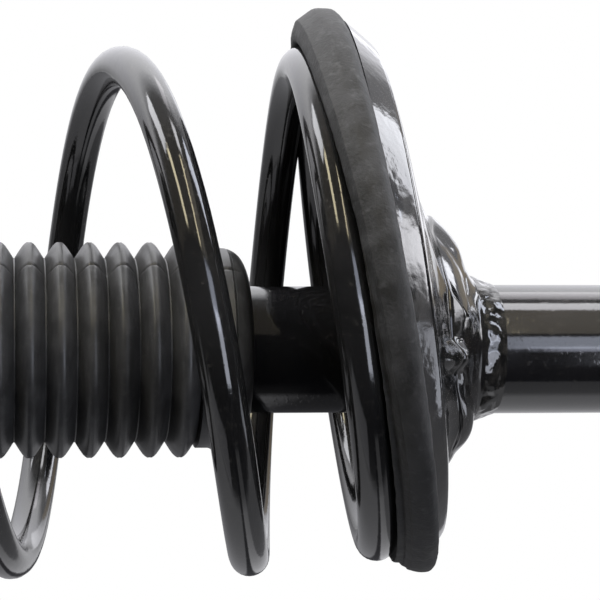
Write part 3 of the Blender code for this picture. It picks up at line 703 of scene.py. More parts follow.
def boot_outline():
    """Outer profile of the bellows from its rounded mouth up."""
    band = BOOT_RIDGE_RADIUS - 0.0020
    cuff = BOOT_RIDGE_RADIUS - 0.0033
    outline = smooth_line([
        (BOOT_MOUTH_RADIUS - 0.0008, BOOT_FOOT),
        (BOOT_MOUTH_RADIUS + 0.0022, BOOT_FOOT + 0.0004),
        (0.0318, BOOT_FOOT + 0.0020),
        (0.0338, BOOT_FOOT + 0.0040),
        (band - 0.0003, BOOT_FOOT + 0.0062),
    ], 3)
    outline += [
        (band - 0.0008, BOOT_FOOT + 0.0066),
        (band - 0.0001, BOOT_FOOT + 0.0070),
        (band + 0.0001, BOOT_FOOT + 0.0088),
        (band - 0.0002, BOOT_FOOT + 0.0110),
        (cuff + 0.0003, BOOT_FOOT + 0.0122),
        (cuff, BOOT_FOOT + 0.0130),
        (cuff, BOOT_FIRST_RIDGE - BOOT_PITCH / 2.0 - 0.0004),
    ]
    for ridge in range(BOOT_RIDGES):
        outline += boot_ridge(BOOT_FIRST_RIDGE + BOOT_PITCH * ridge)
    last = outline[-1][1]
    outline += [
        (BOOT_RIDGE_RADIUS - 0.0012, last + 0.0036),
        (BOOT_RIDGE_RADIUS, last + 0.0050),
        (BOOT_RIDGE_RADIUS, BOOT_TOP - 0.0006),
        (BOOT_RIDGE_RADIUS - 0.0006, BOOT_TOP),
    ]
    return outline


def boot_bore():
    """Inner profile of the bellows from the top down, parallel to the ridges."""
    inner_valley = BOOT_VALLEY_RADIUS - BOOT_WALL
    inner_ridge = BOOT_RIDGE_RADIUS - BOOT_WALL
    bore = [(inner_ridge, BOOT_TOP)]
    for ridge in reversed(range(BOOT_RIDGES)):
        height = BOOT_FIRST_RIDGE + BOOT_PITCH * ridge
        bore.append((inner_valley, height + BOOT_PITCH * 0.5))
        bore.append((inner_ridge, height + BOOT_PITCH * 0.08))
        bore.append((inner_ridge, height - BOOT_PITCH * 0.08))
    bore.append((inner_valley, BOOT_FIRST_RIDGE - BOOT_PITCH * 0.5))
    bore.append((inner_valley, BOOT_FOOT + 0.0055))
    bore.append((BOOT_MOUTH_RADIUS + 0.0010, BOOT_FOOT + 0.0020))
    bore.append((BOOT_MOUTH_RADIUS - BOOT_WALL, BOOT_FOOT + 0.0004))
    return bore


def make_boot():
    """Dust boot: a moulded bellows with a fine parting groove down each side."""
    seams = (math.radians(-38.0), math.radians(142.0))
    width = math.radians(0.75)
    angles = set(angles_of(132))
    for seam in seams:
        angles = {a for a in angles if abs(angle_between(a, seam)) > 1.6 * width}
        angles |= {(seam + width * offset) % TAU for offset in (-1.4, -0.7, 0.0, 0.7, 1.4)}

    def groove(radius, angle, height):
        near = max(bump_of(angle_between(angle, seam), width * 1.3) for seam in seams)
        outside = radius > BOOT_RIDGE_RADIUS - 0.0030
        return radius - (0.00045 * near if outside else 0.0), height

    bm = lathe(boot_outline() + boot_bore(), sorted(angles), groove)
    boot = finish_piece("dust_boot", bm, "boot_rubber", None, sharp_deg=50.0)
    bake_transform(boot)


def isolator_section(angle):
    """Cross-section of the isolator at one angle: (radius, height over the rim plane)."""
    floor = coil_floor(angle)
    lip = 0.0078 + 0.0060 * math.cos(angle) + 0.0014 * math.cos(2.0 * angle)
    lip -= 0.0010 * math.sin(angle)
    skirt = -0.0048 + 0.0033 * math.cos(angle)
    channel = from_spring_centre(END_COIL_RADIUS + WIRE_RADIUS + 0.0006, angle)
    bore = from_spring_centre(0.0690, angle)
    crest = channel + 0.25 * (LIP_RADIUS - channel)
    waist = (skirt + lip) / 2.0
    under = -0.0084 - 0.154 * (0.0812 - bore)
    return [
        (SEAT_RADIUS + GAP, skirt),
        (LIP_RADIUS, skirt + 0.0022),
        (LIP_RADIUS, waist),
        ((LIP_RADIUS + crest) / 2.0 + 0.0003, lip - 0.0020),
        ((LIP_RADIUS + crest) / 2.0 - 0.0004, lip - 0.0017),
        (crest, lip),
        (channel, lip - 0.0004),
        (channel, floor + 0.0030),
        (channel - 0.0030, floor),
        (bore, floor),
        (bore, under),
        (0.0812, -0.0084),
        (0.0842, -0.0069),
        (0.0872, -0.0040),
        (SEAT_RADIUS - 0.0030, -0.0010),
        (SEAT_RADIUS + GAP, -0.0010),
    ]


def make_lower_isolator():
    """Rubber isolator: a ramp under the end coil and a rough lip over the steel rim."""
    rings = []
    for angle in angles_of(288):
        ring = []
        for radius, height in round_corners(isolator_section(angle), 0.0016, 3):
            point = seat_point(radius, angle, SEAT_HEIGHT + height)
            if radius > 0.0875:
                point = roughen(point, 0.0045, 0.00022)
            ring.append(point)
        rings.append(ring)
    skinned("lower_isolator", rings, "isolator_rubber", "damper_body", 60.0)


def seat_press(point, radius, angle, share):
    """Depth pressed out of the seat's cone: shallow folds, deep gussets and round beads."""
    beads = 0.0
    clear = 1.0
    for number in range(BEADS):
        bead = BEAD_ANGLE + TAU * number / BEADS
        along = point.x * math.cos(bead) + point.y * math.sin(bead)
        across = point.y * math.cos(bead) - point.x * math.sin(bead)
        reach = math.hypot(across, min(along - BEAD_START, 0.0))
        beads += BEAD_DEPTH * bump_of(reach, BEAD_RADIUS) * fade((1.0 - share) * 8.0)
        clear *= fade((reach - 0.5 * BEAD_RADIUS) / BEAD_RADIUS)
    folds = 0.0
    for number in range(GUSSETS):
        deep = number % 2
        fold = GUSSET_ANGLE + TAU * number / GUSSETS + GUSSET_SKEW * (share - 0.5)
        across = min(abs(angle_between(angle, fold)) * radius / GUSSET_HALF_WIDTH, 1.0)
        section = bump_of(across, 1.0) if deep else (1.0 - across) ** 2
        folds += GUSSET_DEPTHS[deep] * math.sin(math.pi * share) * section
    return beads + folds * clear


def make_lower_seat():
    """Stamped lower seat: a collar on the tube, a gusseted cone and a turned-up rim."""
    collar = TUBE_RADIUS + GAP
    plane = SEAT_HEIGHT
    # radius, height, centre, tilt: the underside from the collar out to the rim,
    cone = [
        (collar + 0.0028, COLLAR_FOOT, 0.0, 0.0),
        (collar + 0.0037, COLLAR_FOOT + 0.0022, 0.0, 0.0),
        (0.0303, 0.2056, 0.0, 0.05),
        (0.0315, 0.2063, 0.0, 0.08),
        (0.0360, 0.2078, 0.01, 0.15),
        (0.0400, 0.2100, 0.05, 0.35),
        (0.0432, 0.2126, 0.10, 0.55),
        (0.0444, 0.2140, 0.14, 0.62),
        (0.0530, 0.2172, 0.52, 0.85),
        (CONE_RADIUS, plane - 0.0150, 1.0, 1.0),
    ]
    dish = [
        (CONE_RADIUS, plane - 0.0150, 1.0, 1.0),
        (0.0760, plane - 0.0134, 1.0, 1.0),
        (0.0836, plane - 0.0119, 1.0, 1.0),
        (0.0853, plane - 0.0111, 1.0, 1.0),
        (0.0867, plane - 0.0099, 1.0, 1.0),
        (0.0902, plane - 0.0062, 1.0, 1.0),
        (SEAT_RADIUS, plane - 0.0020, 1.0, 1.0),
    ]
    # and the upper side from the rim back in to the collar
    bowl = [
        (SEAT_RADIUS - 0.0028, plane - 0.0014, 1.0, 1.0),
        (0.0876, plane - 0.0044, 1.0, 1.0),
        (0.0845, plane - 0.0073, 1.0, 1.0),
        (0.0815, plane - 0.0088, 1.0, 1.0),
        (CONE_RADIUS, plane - 0.0115, 1.0, 1.0),
    ]
    funnel = [
        (CONE_RADIUS, plane - 0.0115, 1.0, 1.0),
        (0.0540, 0.2206, 0.55, 0.85),
        (0.0435, 0.2175, 0.18, 0.6),
        (0.0385, 0.2136, 0.08, 0.35),
        (0.0335, 0.2108, 0.02, 0.15),
        (0.0280, 0.2085, 0.0, 0.05),
        (collar, COLLAR_TOP, 0.0, 0.0),
    ]
    rings = []
    for outline in (cone, dish, bowl, funnel):
        line = smooth_line(outline, 5)
        for index, (radius, height, centre, tilt) in enumerate(line[:-1]):
            share = index / (len(line) - 1)
            ring = []
            for angle in angles_of(SEAT_STEPS):
                point = seat_point(radius, angle, height, centre, tilt)
                if outline in (cone, funnel):
                    outwards = share if outline is cone else 1.0 - share
                    depth = seat_press(point, radius, angle, outwards)
                    point += depth * polar(0.5, angle, -0.8)
                ring.append(point)
            rings.append(ring)
    for height in (COLLAR_TOP, COLLAR_FOOT):
        rings.append(plain_ring(collar, height, steps=SEAT_STEPS))
    seat = skinned("lower_spring_seat", rings, "gloss_black", "damper_body", 50.0)
    seat.data.materials[0] = wavy_paint("painted_pressing")


def weld_run(node, inner, size, low, rise, start_deg, end_deg, ripples):
    """A hand-laid weld bead on the tube, from start to end angle, with uneven ripples."""
    rings = []
    for point in arc(1.0, start_deg, end_deg, round(end_deg - start_deg)):
        angle = math.atan2(point.y, point.x)
        wave = 1.0 + 0.10 * math.sin(angle * ripples) + 0.16 * noise.noise(point.to_3d() * 9.0)
        section = [(inner, low)]
        for corner in range(9):
            turn = math.pi / 2.0 * corner / 8.0
            reach = inner + size * wave * math.cos(turn)
            level = low + rise * (0.35 + 0.65 * math.sin(turn)) * (1.0 if corner < 8 else 0.999)
            section.append((reach, level))
        ring = []
        for reach, level in section:
            spot = Vector((point.x * reach, point.y * reach, level))
            ring.append(roughen(spot, 0.0026, 0.0005) if reach > inner + 0.0006 else spot)
        ring.append(Vector((point.x * inner, point.y * inner, low + rise * 0.999)))
        rings.append(ring)
    skinned(node, rings, "weld_black", "damper_body", 60.0, closed=False)


def make_seat_weld():
    """Weld bead all round the tube: a lumpy fillet from the seat's collar down to the tube."""
    inner = TUBE_RADIUS + GAP
    bead_low = low_corner("seat_weld").z
    bead_high = COLLAR_FOOT + 0.0004
    rings = []
    for angle in angles_of(SEAT_STEPS):
        direction = polar(1.0, angle, 0.0)
        ring = [polar(inner, angle, bead_low)]
        toe = 0.0010 * noise.noise(direction * 5.0)
        for corner in range(1, 17):
            share = corner / 16.0
            reach = inner + 0.0026 * share ** 0.9
            level = bead_low + (bead_high - bead_low) * share + toe * (1.0 - share)
            spot = polar(reach, angle, level)
            lump = 0.0008 * noise.noise(spot / 0.0048) + 0.0002 * noise.noise(spot / 0.0021)
            ring.append(spot + direction * lump * min(share * 3.0, 1.0))
        ring.append(polar(inner, angle, bead_high))
        rings.append(ring)
    skinned("seat_weld", rings, "weld_black", "damper_body", 60.0)


def make_tube():
    """Outer damper tube, drawn down above the seat, with its end cap at the foot and the gland cap at
    its top.
    """
    step = COLLAR_FOOT + 0.0070
    turned("damper_tube", [
        (TUBE_BORE, TUBE_FOOT),
        (TUBE_RADIUS, TUBE_FOOT),
        (TUBE_RADIUS, step),
        (TUBE_TOP_RADIUS, step + 0.0050),
        (TUBE_TOP_RADIUS, TUBE_TOP),
        (TUBE_BORE, TUBE_TOP),
    ], "gloss_black", "damper_body", rounding=0.0012)
    turned("tube_end_cap", [
        (0.0, 0.0),
        (0.0140, 0.0),
        (0.0190, 0.0016),
        (TUBE_RADIUS - 0.0004, 0.0050),
        (TUBE_RADIUS - 0.0004, TUBE_FOOT - GAP),
        (TUBE_BORE - GAP, TUBE_FOOT - GAP),
        (TUBE_BORE - GAP, 0.0105),
        (0.0160, 0.0105),
        (0.0160, 0.0075),
        (0.0110, 0.0040),
        (0.0, 0.0040),
    ], "gloss_black", "damper_body", rounding=0.0010)
    flat_ring("gland_cap", ROD_RADIUS + 2.0 * GAP, TUBE_TOP_RADIUS - 0.0006,
              "gloss_black", "damper_body", 0.0012)


# ---------------------------------------------------------------- top of the strut

def make_upper_seat():
    """Upper spring seat, stamped with a ring of stiffening ribs, and its isolator."""
    low = UPPER_SEAT_HEIGHT
    rim = UPPER_SEAT_RADIUS
    ribs = 12

    def ribbed(radius, angle, height):
        across = abs(angle_between(angle * ribs, 0.0)) / ribs * radius
        rib = bump_of(across, 0.0050) * bump_of(radius - 0.0700, 0.0170)
        on_top = height > low + 0.5 * SEAT_SHEET and radius < rim - 0.004
        return radius, height + (0.0016 * rib if on_top else 0.0)

    top = low + SEAT_SHEET
    crown = [(radius / 1000.0, top) for radius in range(90, 48, -2)]
    turned("upper_spring_seat", [
        (0.0300, low),
        (rim, low),
        (rim, low - 0.0095),
        (rim + SEAT_SHEET, low - 0.0095),
        (rim + SEAT_SHEET, low + 0.0010),
        (rim + 0.0010, top),
    ] + crown + [(0.0300, top)], "gloss_black", "spring_group",
        rounding=0.0010, steps=240, shape=ribbed)
    turned("upper_isolator", [
        (0.0660, low - 0.0045),
        (0.0945, low - 0.0045),
        (rim - GAP, low - 0.0035),
        (rim - GAP, low - GAP),
        (0.0660, low - GAP),
    ], "isolator_rubber", "spring_group", rounding=0.0010)


def make_bearing():
    """The two races and the ball cage of the thrust bearing."""
    for node, body in (("bearing_lower_race", "spring_group"), ("bearing_upper_race", "top_mount")):
        flat_ring(node, BEARING_INNER, BEARING_OUTER, "plain_steel", body, 0.0008)
    balls = 12
    middle = sum(levels("bearing_ball_cage")) / 2.0

    def pockets(radius, angle, height):
        swell = math.cos(angle * balls / 2.0) ** 2
        return radius, middle + (height - middle) * (0.69 + 0.31 * swell)

    flat_ring("bearing_ball_cage", BEARING_INNER + 0.0020, BEARING_OUTER - 0.0020,
              "bearing_nylon", "bearing_cage", 0.0005, 144, pockets)


def make_mount_core():
    """Cup, rubber and inner sleeve that carry the rod's end."""
    low, high = levels("mount_cup")
    turned("mount_cup", [
        (0.0165, low),
        (0.0440, low),
        (0.0460, low + 0.0020),
        (0.0460, high),
        (0.0434, high),
        (0.0434, low + 0.0026),
        (0.0165, low + 0.0026),
    ], "gloss_black", "top_mount", rounding=0.0010)
    floor, crest = levels("mount_rubber")

    def scallops(radius, angle, height):
        hollow = math.cos(angle * 3.0) ** 2 * bump_of(radius - 0.0205, 0.0045)
        return radius, height - (0.0016 * hollow if height > crest - 0.0030 else 0.0)

    slope = [(0.0215 - 0.0010 * step, crest) for step in range(0, 7)]
    turned("mount_rubber", [
        (0.0139, floor),
        (0.0431, floor),
        (0.0431, PLATE_LOW - GAP),
        (PLATE_HOLE - GAP, PLATE_LOW - GAP),
        (PLATE_HOLE - GAP, PLATE_LOW + 0.0020),
    ] + slope + [(0.0139, crest)], "mount_rubber", "top_mount", rounding=0.0009, shape=scallops)
    flat_ring("mount_sleeve", ROD_THREAD_RADIUS + GAP, 0.0136,
              "plain_steel", "top_mount", 0.0006, SMALL_STEPS)


def make_mount_plate():
    """Three-lobed mounting plate with its centre hole and stud holes."""
    outline = []
    for angle in angles_of(144):
        radius = PLATE_RADIUS + PLATE_LOBE * math.cos(3.0 * angle)
        outline.append(polar(radius, angle, 0.0).to_2d())
    openings = [(0.0, 0.0, PLATE_HOLE)]
    openings += [(x, y, STUD_RADIUS + GAP) for x, y in stud_spots()]
    holes = [
        ((x, y, PLATE_LOW - 0.01), (x, y, PLATE_HIGH + 0.01), radius)
        for x, y, radius in openings
    ]
    extruded("mount_plate", outline, PLATE_LOW, PLATE_HIGH, "zinc_steel", "top_mount", holes, 0.0007)


def thread_rings(radius, low, high, x=0.0, y=0.0):
    """Rings of a threaded shank from low to high, fading out at both ends."""
    rings = []
    count = round((high - low) / THREAD_PITCH * 8)
    for level in range(count + 1):
        height = low + (high - low) * level / count
        ends = fade((height - low) / THREAD_PITCH) * fade((high - height) / THREAD_PITCH)
        ring = []
        for angle in angles_of(SHANK_STEPS):
            phase = ((height / THREAD_PITCH - angle / TAU) % 1.0) * 2.0 - 1.0
            reach = radius - THREAD_PITCH * 0.55 * ends * abs(phase)
            ring.append(polar(reach, angle, height, x, y))
        rings.append(ring)
    return rings


def make_studs():
    """Three threaded mounting studs, each with its head under the plate."""
    for number, (x, y) in enumerate(stud_spots(), 1):
        node = f"mount_stud_{number}"
        foot = low_corner(node).z
        collar = PLATE_LOW - GAP
        rings = [
            plain_ring(STUD_HEAD_RADIUS - 0.0007, foot, x, y),
            plain_ring(STUD_HEAD_RADIUS, foot + 0.0008, x, y),
            plain_ring(STUD_HEAD_RADIUS, collar - 0.0003, x, y),
            plain_ring(STUD_HEAD_RADIUS - 0.0003, collar, x, y),
            plain_ring(STUD_RADIUS, collar, x, y),
            plain_ring(STUD_RADIUS, PLATE_HIGH + 0.0014, x, y),
        ]
        rings += thread_rings(STUD_RADIUS, PLATE_HIGH + 0.0020, STUD_TOP - 0.0011, x, y)
        rings.append(plain_ring(STUD_RADIUS - 0.0012, STUD_TOP, x, y))
        skinned(node, rings, "zinc_steel", "top_mount", 50.0, closed=False)


def make_rod():
    """Piston rod: chromed shaft, turned shoulder and threaded end."""
    thread_low = high_corner("mount_sleeve").z - 0.0040
    rings = [
        plain_ring(ROD_THREAD_RADIUS - 0.001, ROD_LOW),
        plain_ring(ROD_THREAD_RADIUS, ROD_LOW + 0.0010),
        plain_ring(ROD_THREAD_RADIUS, ROD_PISTON_END),
        plain_ring(ROD_RADIUS, ROD_PISTON_END),
        plain_ring(ROD_RADIUS, ROD_SHOULDER - 0.0008),
        plain_ring(ROD_RADIUS - 0.0008, ROD_SHOULDER),
        plain_ring(ROD_THREAD_RADIUS, ROD_SHOULDER),
    ]
    rings += thread_rings(ROD_THREAD_RADIUS, thread_low, ROD_TOP - 0.0014)
    rings.append(plain_ring(ROD_THREAD_RADIUS - 0.0015, ROD_TOP))
    skinned("piston_rod", rings, "chromed_steel", "top_mount", 50.0, closed=False)


def make_rod_nut():
    """Washer and chamfered hexagon nut on the rod's threaded end."""
    bore = ROD_THREAD_RADIUS + GAP
    flat_ring("rod_washer", bore, 0.0210, "zinc_steel", "top_mount", 0.0007, SMALL_STEPS)
    low, high = levels("rod_nut")
    corner = high_corner("rod_nut").x
    flat = corner * math.cos(math.pi / 6.0)
    chamfer = 0.0016
    sides = 96

    def side(height, limit):
        ring = []
        for angle in angles_of(sides):
            hexagon = flat / math.cos(angle_between(angle * 6.0, math.pi) / 6.0)
            ring.append(polar(min(hexagon, limit), angle, height))
        return ring

    rings = [
        plain_ring(bore, low + 0.0006, steps=sides),
        plain_ring(bore + 0.0008, low, steps=sides),
        side(low, flat * 0.985),
        side(low + chamfer * 0.5, (flat + corner) / 2.0),
        side(low + chamfer, corner),
        side(high - chamfer, corner),
        side(high - chamfer * 0.5, (flat + corner) / 2.0),
        side(high, flat * 0.985),
        plain_ring(bore + 0.0008, high, steps=sides),
        plain_ring(bore, high - 0.0006, steps=sides),
    ]
    skinned("rod_nut", rings, "zinc_steel", "top_mount", 20.0)


def make_bump_stop():
    """Foam bump stop with three waists, and its steel cup above."""
    inner = ROD_RADIUS + 2.0 * GAP
    foot, top = levels("bump_stop")
    waist = []
    for step in range(49):
        share = step / 48.0
        wave = 0.5 + 0.5 * math.cos(TAU * 3.0 * share)
        waist.append((0.0172 + 0.0034 * wave, foot + 0.0100 + 0.0660 * share))
    turned("bump_stop", [(inner, foot), (0.0165, foot), (0.0190, foot + 0.0030)] + waist + [
        (0.0225, foot + 0.0790), (0.0225, top), (inner, top),
    ], "bump_foam", "top_mount", rounding=0.0010, steps=SMALL_STEPS)
    rim, roof = levels("bump_stop_cup")
    turned("bump_stop_cup", [
        (ROD_THREAD_RADIUS + GAP, top + 2.0 * GAP),
        (0.0229, top + 2.0 * GAP),
        (0.0229, rim),
        (0.0250, rim),
        (0.0250, roof - 0.0010),
        (0.0238, roof),
        (ROD_THREAD_RADIUS + GAP, roof),
    ], "zinc_steel", "top_mount", rounding=0.0006, steps=SMALL_STEPS)


# ---------------------------------------------------------------- brackets on the tube

def clevis_side(corner, radius):
    """Half of a clevis outline: straight cheek, then tangent onto a circle round the tube."""
    reach = math.atan2(corner.y, corner.x)
    tangent = math.degrees(reach + math.acos(radius / corner.length))
    return [Vector((CLEVIS_REACH, corner.y)), corner] + arc(radius, tangent, 180.0, 36)


def make_knuckle_bracket():
    """Clevis wrapped round the tube with two bolt holes for the steering knuckle."""
    inner = clevis_side(Vector((CLEVIS_NECK, CLEVIS_HALF_GAP)), TUBE_RADIUS + GAP)
    outer = clevis_side(
        Vector((CLEVIS_NECK + 0.0010, CLEVIS_HALF_GAP + BRACKET_SHEET)),
        TUBE_RADIUS + GAP + BRACKET_SHEET)
    outline = inner + [Vector((point.x, -point.y)) for point in reversed(inner[:-1])]
    outline += [Vector((point.x, -point.y)) for point in outer[:-1]]
    outline += list(reversed(outer))
    holes = [
        ((BOLT_X, -0.05, height), (BOLT_X, 0.05, height), BOLT_HOLE_RADIUS)
        for height in BOLT_HEIGHTS
    ]
    extruded("knuckle_bracket", outline, BRACKET_FOOT, BRACKET_TOP, "gloss_black", "damper_body",
             holes, 0.0011)
    weld_run("bracket_upper_weld", TUBE_RADIUS + GAP, 0.0033, BRACKET_TOP + GAP, 0.0033,
             85.0, 275.0, 31.0)


def make_tab(node, side, sheet, hole, ripples):
    """A tab wrapped onto the tube's side and standing straight out along Y, with one hole."""
    low, high = levels(node)
    reach = max(abs(low_corner(node).y), abs(high_corner(node).y))
    inner = TUBE_RADIUS + GAP
    foot = arc(inner, 60.0, 100.0, 16)
    back = arc(inner + sheet, 60.0, 97.0, 16)
    edge = foot[-1].x + sheet
    outline = foot + [Vector((foot[-1].x, reach)), Vector((edge, reach))]
    outline += [Vector((edge, inner + sheet + 0.001))]
    outline += [point for point in reversed(back) if point.x > edge + 0.001]
    outline = [Vector((point.x, side * point.y)) for point in outline]
    middle = (low + high) / 2.0
    hole_y = side * (reach - (high - low) / 2.0)
    extruded(node, outline, low, high, "gloss_black", "damper_body",
             [((-0.03, hole_y, middle), (0.03, hole_y, middle), hole)], 0.0008)
    start, end = (60.0, 100.0) if side > 0 else (260.0, 300.0)
    weld_run(f"{node}_weld", inner, 0.0024, high + GAP, 0.0024, start, end, ripples)


def dress_cad_nodes():
    """Give every CAD node that still shows the look of its material slot."""
    slots = {part["node"]: part["material_slot"] for part in frame["record"]["subparts"]}
    for name, node in frame["nodes"].items():
        for holder in node.material_slots:
            holder.material = LOOKS[slots[name]]


# ---------------------------------------------------------------- floor, light and camera

def make_floor():
    """A pale round floor under the strut that fades out towards its edge."""
    look = Look("pale_floor", 0.7)
    look.color(look.mix(look.noise(0.05, 3.0), (0.80, 0.80, 0.80), (0.84, 0.84, 0.84)))
    length = look.node("ShaderNodeVectorMath", operation="LENGTH")
    look.feed(length.inputs[0], look.place)
    fading = look.ramp(length.outputs["Value"], 0.14, 0.45, 1.0, 0.0)
    look.feed(look.shader.inputs["Alpha"], fading)
    bm = bmesh.new()
    bmesh.ops.create_circle(bm, cap_ends=True, segments=96, radius=0.46)
    floor = add_mesh("floor", bm)
    floor.data.materials.append(look.material)
    floor.location.z = -0.0005
    floor.visible_glossy = False
    floor.visible_diffuse = False
    floor.visible_shadow = False


STUDIO_PEAK = 12.0              # colours are stored as shares of this brightness
# Brightness above the strut's table, by the angle in degrees from -Y towards +X
OVERHEAD = (
    (-60.0, (0.015, 0.015, 0.02)),
    (27.0, 0.015),
    (30.0, (0.28, 0.25, 0.20)),
    (74.0, (0.28, 0.25, 0.20)),
    (101.0, 0.50),
    (112.0, (2.3, 2.3, 2.4)),
    (122.0, (3.4, 3.4, 3.5)),
    (136.0, (2.6, 2.6, 2.7)),
    (152.0, (1.8, 1.8, 1.9)),
    (168.0, (1.1, 1.1, 1.15)),
    (180.0, (0.35, 0.35, 0.36)),
)
# Share of that brightness by the direction's height: less towards the strut's foot
OVERHEAD_ALONG = ((-0.60, 0.30), (-0.45, 1.0))
# Brightness of the table, by the same angle, and its share by the direction's height
TABLE = (
    (-180.0, (0.25, 0.25, 0.26)),
    (-134.0, (0.50, 0.50, 0.52)),
    (-94.0, (0.85, 0.85, 0.88)),
    (-83.0, 0.10),
    (-60.0, 0.0),
    (179.0, 0.0),
    (180.0, (0.25, 0.25, 0.26)),
)
TABLE_ALONG = ((-0.50, 0.60), (-0.23, 1.0), (-0.20, 0.15), (-0.11, 0.15), (-0.08, 1.0))
# Panels: first and last angle round the strut, lowest and highest direction, colour
PANELS = (
    (3.0, 22.0, -0.58, -0.26, (3.8, 4.1, 4.9)),           # window beside the camera
    (-2.0, 4.0, -0.58, -0.30, (3.4, 3.6, 4.4)),           # and its slanting lower edge
    (-28.0, 2.0, -0.64, -0.36, (5.8, 6.1, 7.0)),
    (30.0, 74.0, -0.50, -0.26, (0.78, 0.71, 0.58)),       # warm wall
    (34.0, 70.0, 0.44, 0.56, (12.0, 10.8, 7.4)),          # lamp tubes in front of it
    (30.0, 68.0, -0.225, -0.155, (12.0, 10.6, 7.2)),
    (75.0, 106.0, 0.48, 0.70, (9.5, 9.6, 10.0)),          # overhead lamps
    (77.0, 90.0, -0.36, -0.225, (9.0, 9.0, 9.3)),
    (103.0, 124.0, -0.36, -0.225, (2.2, 2.1, 2.2)),
    (82.0, 104.0, -0.93, -0.60, (8.0, 8.4, 9.6)),
    (-180.0, -135.0, -1.0, -0.93, (2.4, 2.5, 2.8)),       # pale things beyond the strut's foot
    (-105.0, -60.0, -1.0, -0.93, (1.6, 1.7, 1.9)),
    (70.0, 150.0, -0.975, -0.94, (8.0, 8.0, 8.4)),
    (158.0, 180.0, -0.58, -0.33, (0.9, 0.9, 0.95)),       # wall behind, pale above brown
    (154.0, 180.0, -0.82, -0.60, (0.30, 0.22, 0.10)),
    (120.0, 145.0, -0.88, -0.72, (6.0, 6.1, 6.5)),        # lamp over the brown part
    (-180.0, -60.0, -0.45, -0.23, (0.42, 0.42, 0.43)),    # table beside the tube
    (-86.0, -60.0, 0.30, 0.85, (0.60, 0.60, 0.64)),
)
PANEL_EDGE_DEG = 2.5            # width of a panel's soft edge round the strut
PANEL_EDGE = 0.015              # and along it
# Brightness that lights the dull surfaces, by the angle round the strut
DULL = (
    (-180.0, 1.2),
    (-94.0, (0.45, 0.45, 0.46)),
    (-60.0, 0.10),
    (10.0, 0.10),
    (48.0, 4.0),
    (62.0, 12.0),
    (128.0, 12.0),
    (150.0, 4.0),
    (180.0, 1.2),
)


def color_band(nodes, value, limit, stops, peak):
    """Colour along a value from -limit to limit; stops are (value, colour or grey)."""
    share = nodes.ramp(value, -limit, limit)
    band = nodes.node("ShaderNodeValToRGB")
    elements = band.color_ramp.elements
    elements.remove(elements[-1])
    for index, (at, color) in enumerate(stops):
        position = (at + limit) / (2.0 * limit)
        element = elements[0] if index == 0 else elements.new(position)
        element.position = position
        shades = color if isinstance(color, tuple) else (color, color, color)
        element.color = (*(part / peak for part in shades), 1.0)
    nodes.feed(band.inputs["Fac"], share)
    return band.outputs["Color"]


def panel_share(nodes, value, low, high, edge):
    """1 where the value lies between low and high, falling to 0 over the edge."""
    return nodes.math(
        "MULTIPLY", nodes.ramp(value, low - edge, low), nodes.ramp(value, high + edge, high))


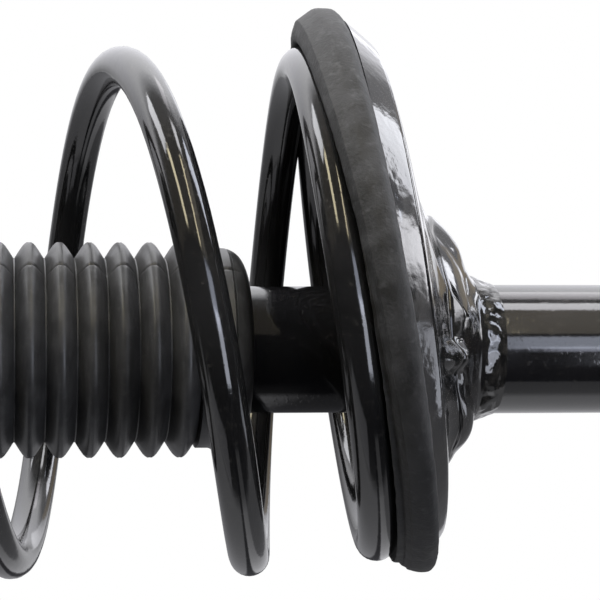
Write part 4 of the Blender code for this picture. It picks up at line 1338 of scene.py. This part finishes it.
def make_studio():
    """Soft panels around the strut, on a white background."""
    world = bpy.data.worlds.new("studio")
    bpy.context.scene.world = world
    world.use_nodes = True
    world.node_tree.nodes.clear()
    nodes = Nodes(world.node_tree)
    split = nodes.node("ShaderNodeSeparateXYZ")
    nodes.feed(split.inputs["Vector"], nodes.node("ShaderNodeTexCoord").outputs["Generated"])
    towards = nodes.math("MULTIPLY", split.outputs["Y"], -1.0)
    degrees = nodes.math("DEGREES", nodes.math("ARCTAN2", split.outputs["X"], towards))
    height = split.outputs["Z"]
    seen = nodes.node("ShaderNodeLightPath").outputs
    light = (0.0, 0.0, 0.0)
    for around, along in ((OVERHEAD, OVERHEAD_ALONG), (TABLE, TABLE_ALONG)):
        bright = color_band(nodes, degrees, 180.0, around, STUDIO_PEAK)
        shares = color_band(nodes, height, 1.0, along, 1.0)
        light = nodes.mix(1.0, light, nodes.mix(1.0, bright, shares, "MULTIPLY"), "ADD")
    for first, last, lowest, highest, color in PANELS:
        inside = nodes.math(
            "MULTIPLY",
            panel_share(nodes, degrees, first, last, PANEL_EDGE_DEG),
            panel_share(nodes, height, lowest, highest, PANEL_EDGE))
        light = nodes.mix(inside, light, tuple(part / STUDIO_PEAK for part in color), "ADD")
    dull = color_band(nodes, degrees, 180.0, DULL, STUDIO_PEAK)
    light = nodes.mix(seen["Is Diffuse Ray"], light, dull)
    panels = nodes.node("ShaderNodeBackground", strength=STUDIO_PEAK)
    nodes.feed(panels.inputs["Color"], light)
    white = nodes.node("ShaderNodeBackground")
    nodes.feed(white.inputs["Color"], (1.0, 1.0, 1.0))
    choice = nodes.node("ShaderNodeMixShader")
    for socket, value in zip(
            choice.inputs, (seen["Is Camera Ray"], panels.outputs[0], white.outputs[0])):
        nodes.feed(socket, value)
    output = nodes.node("ShaderNodeOutputWorld")
    nodes.feed(output.inputs["Surface"], choice.outputs[0])
    bpy.context.scene.view_settings.view_transform = "Standard"
    bpy.context.scene.view_settings.look = "None"


CAMERA_SPOT = Vector((0.01723, -0.640, 0.3635))
LENS = 111.42                   # mm
SENSOR = 36.0                   # mm
SHIFT = 0.25                    # the rest of the view's offset is a turn of the camera


def make_camera():
    """Camera in front of the strut, rolled so that +X points up in the picture."""
    data = bpy.data.cameras.new("camera")
    data.sensor_width = SENSOR
    data.lens = LENS
    data.shift_x = SHIFT
    data.clip_start = 0.01
    data.clip_end = 50.0
    camera = bpy.data.objects.new("camera", data)
    yaw = math.atan((0.5 - SHIFT) * SENSOR / LENS)
    right = Vector((0.0, 0.0, -1.0))
    up = Vector((1.0, 0.0, 0.0))
    back = Vector((0.0, -1.0, 0.0))
    ahead = -back * math.cos(yaw) + right * math.sin(yaw)
    turned_right = right * math.cos(yaw) + back * math.sin(yaw)
    pose = Matrix((turned_right, up, -ahead)).transposed().to_4x4()
    pose.translation = CAMERA_SPOT
    camera.matrix_world = pose
    bpy.context.scene.collection.objects.link(camera)
    bpy.context.scene.camera = camera


# ---------------------------------------------------------------- everything together

make_camera()
make_studio()
make_floor()

make_spring()
make_boot()
make_lower_isolator()
make_lower_seat()
make_seat_weld()
make_tube()

make_upper_seat()
make_bearing()
make_mount_core()
make_mount_plate()
make_studs()
make_rod()
make_rod_nut()
make_bump_stop()

make_knuckle_bracket()
make_tab("link_bracket", 1.0, 0.0050, 0.0062, 47.0)
make_tab("hose_bracket", -1.0, 0.0025, 0.0052, 53.0)
dress_cad_nodes()
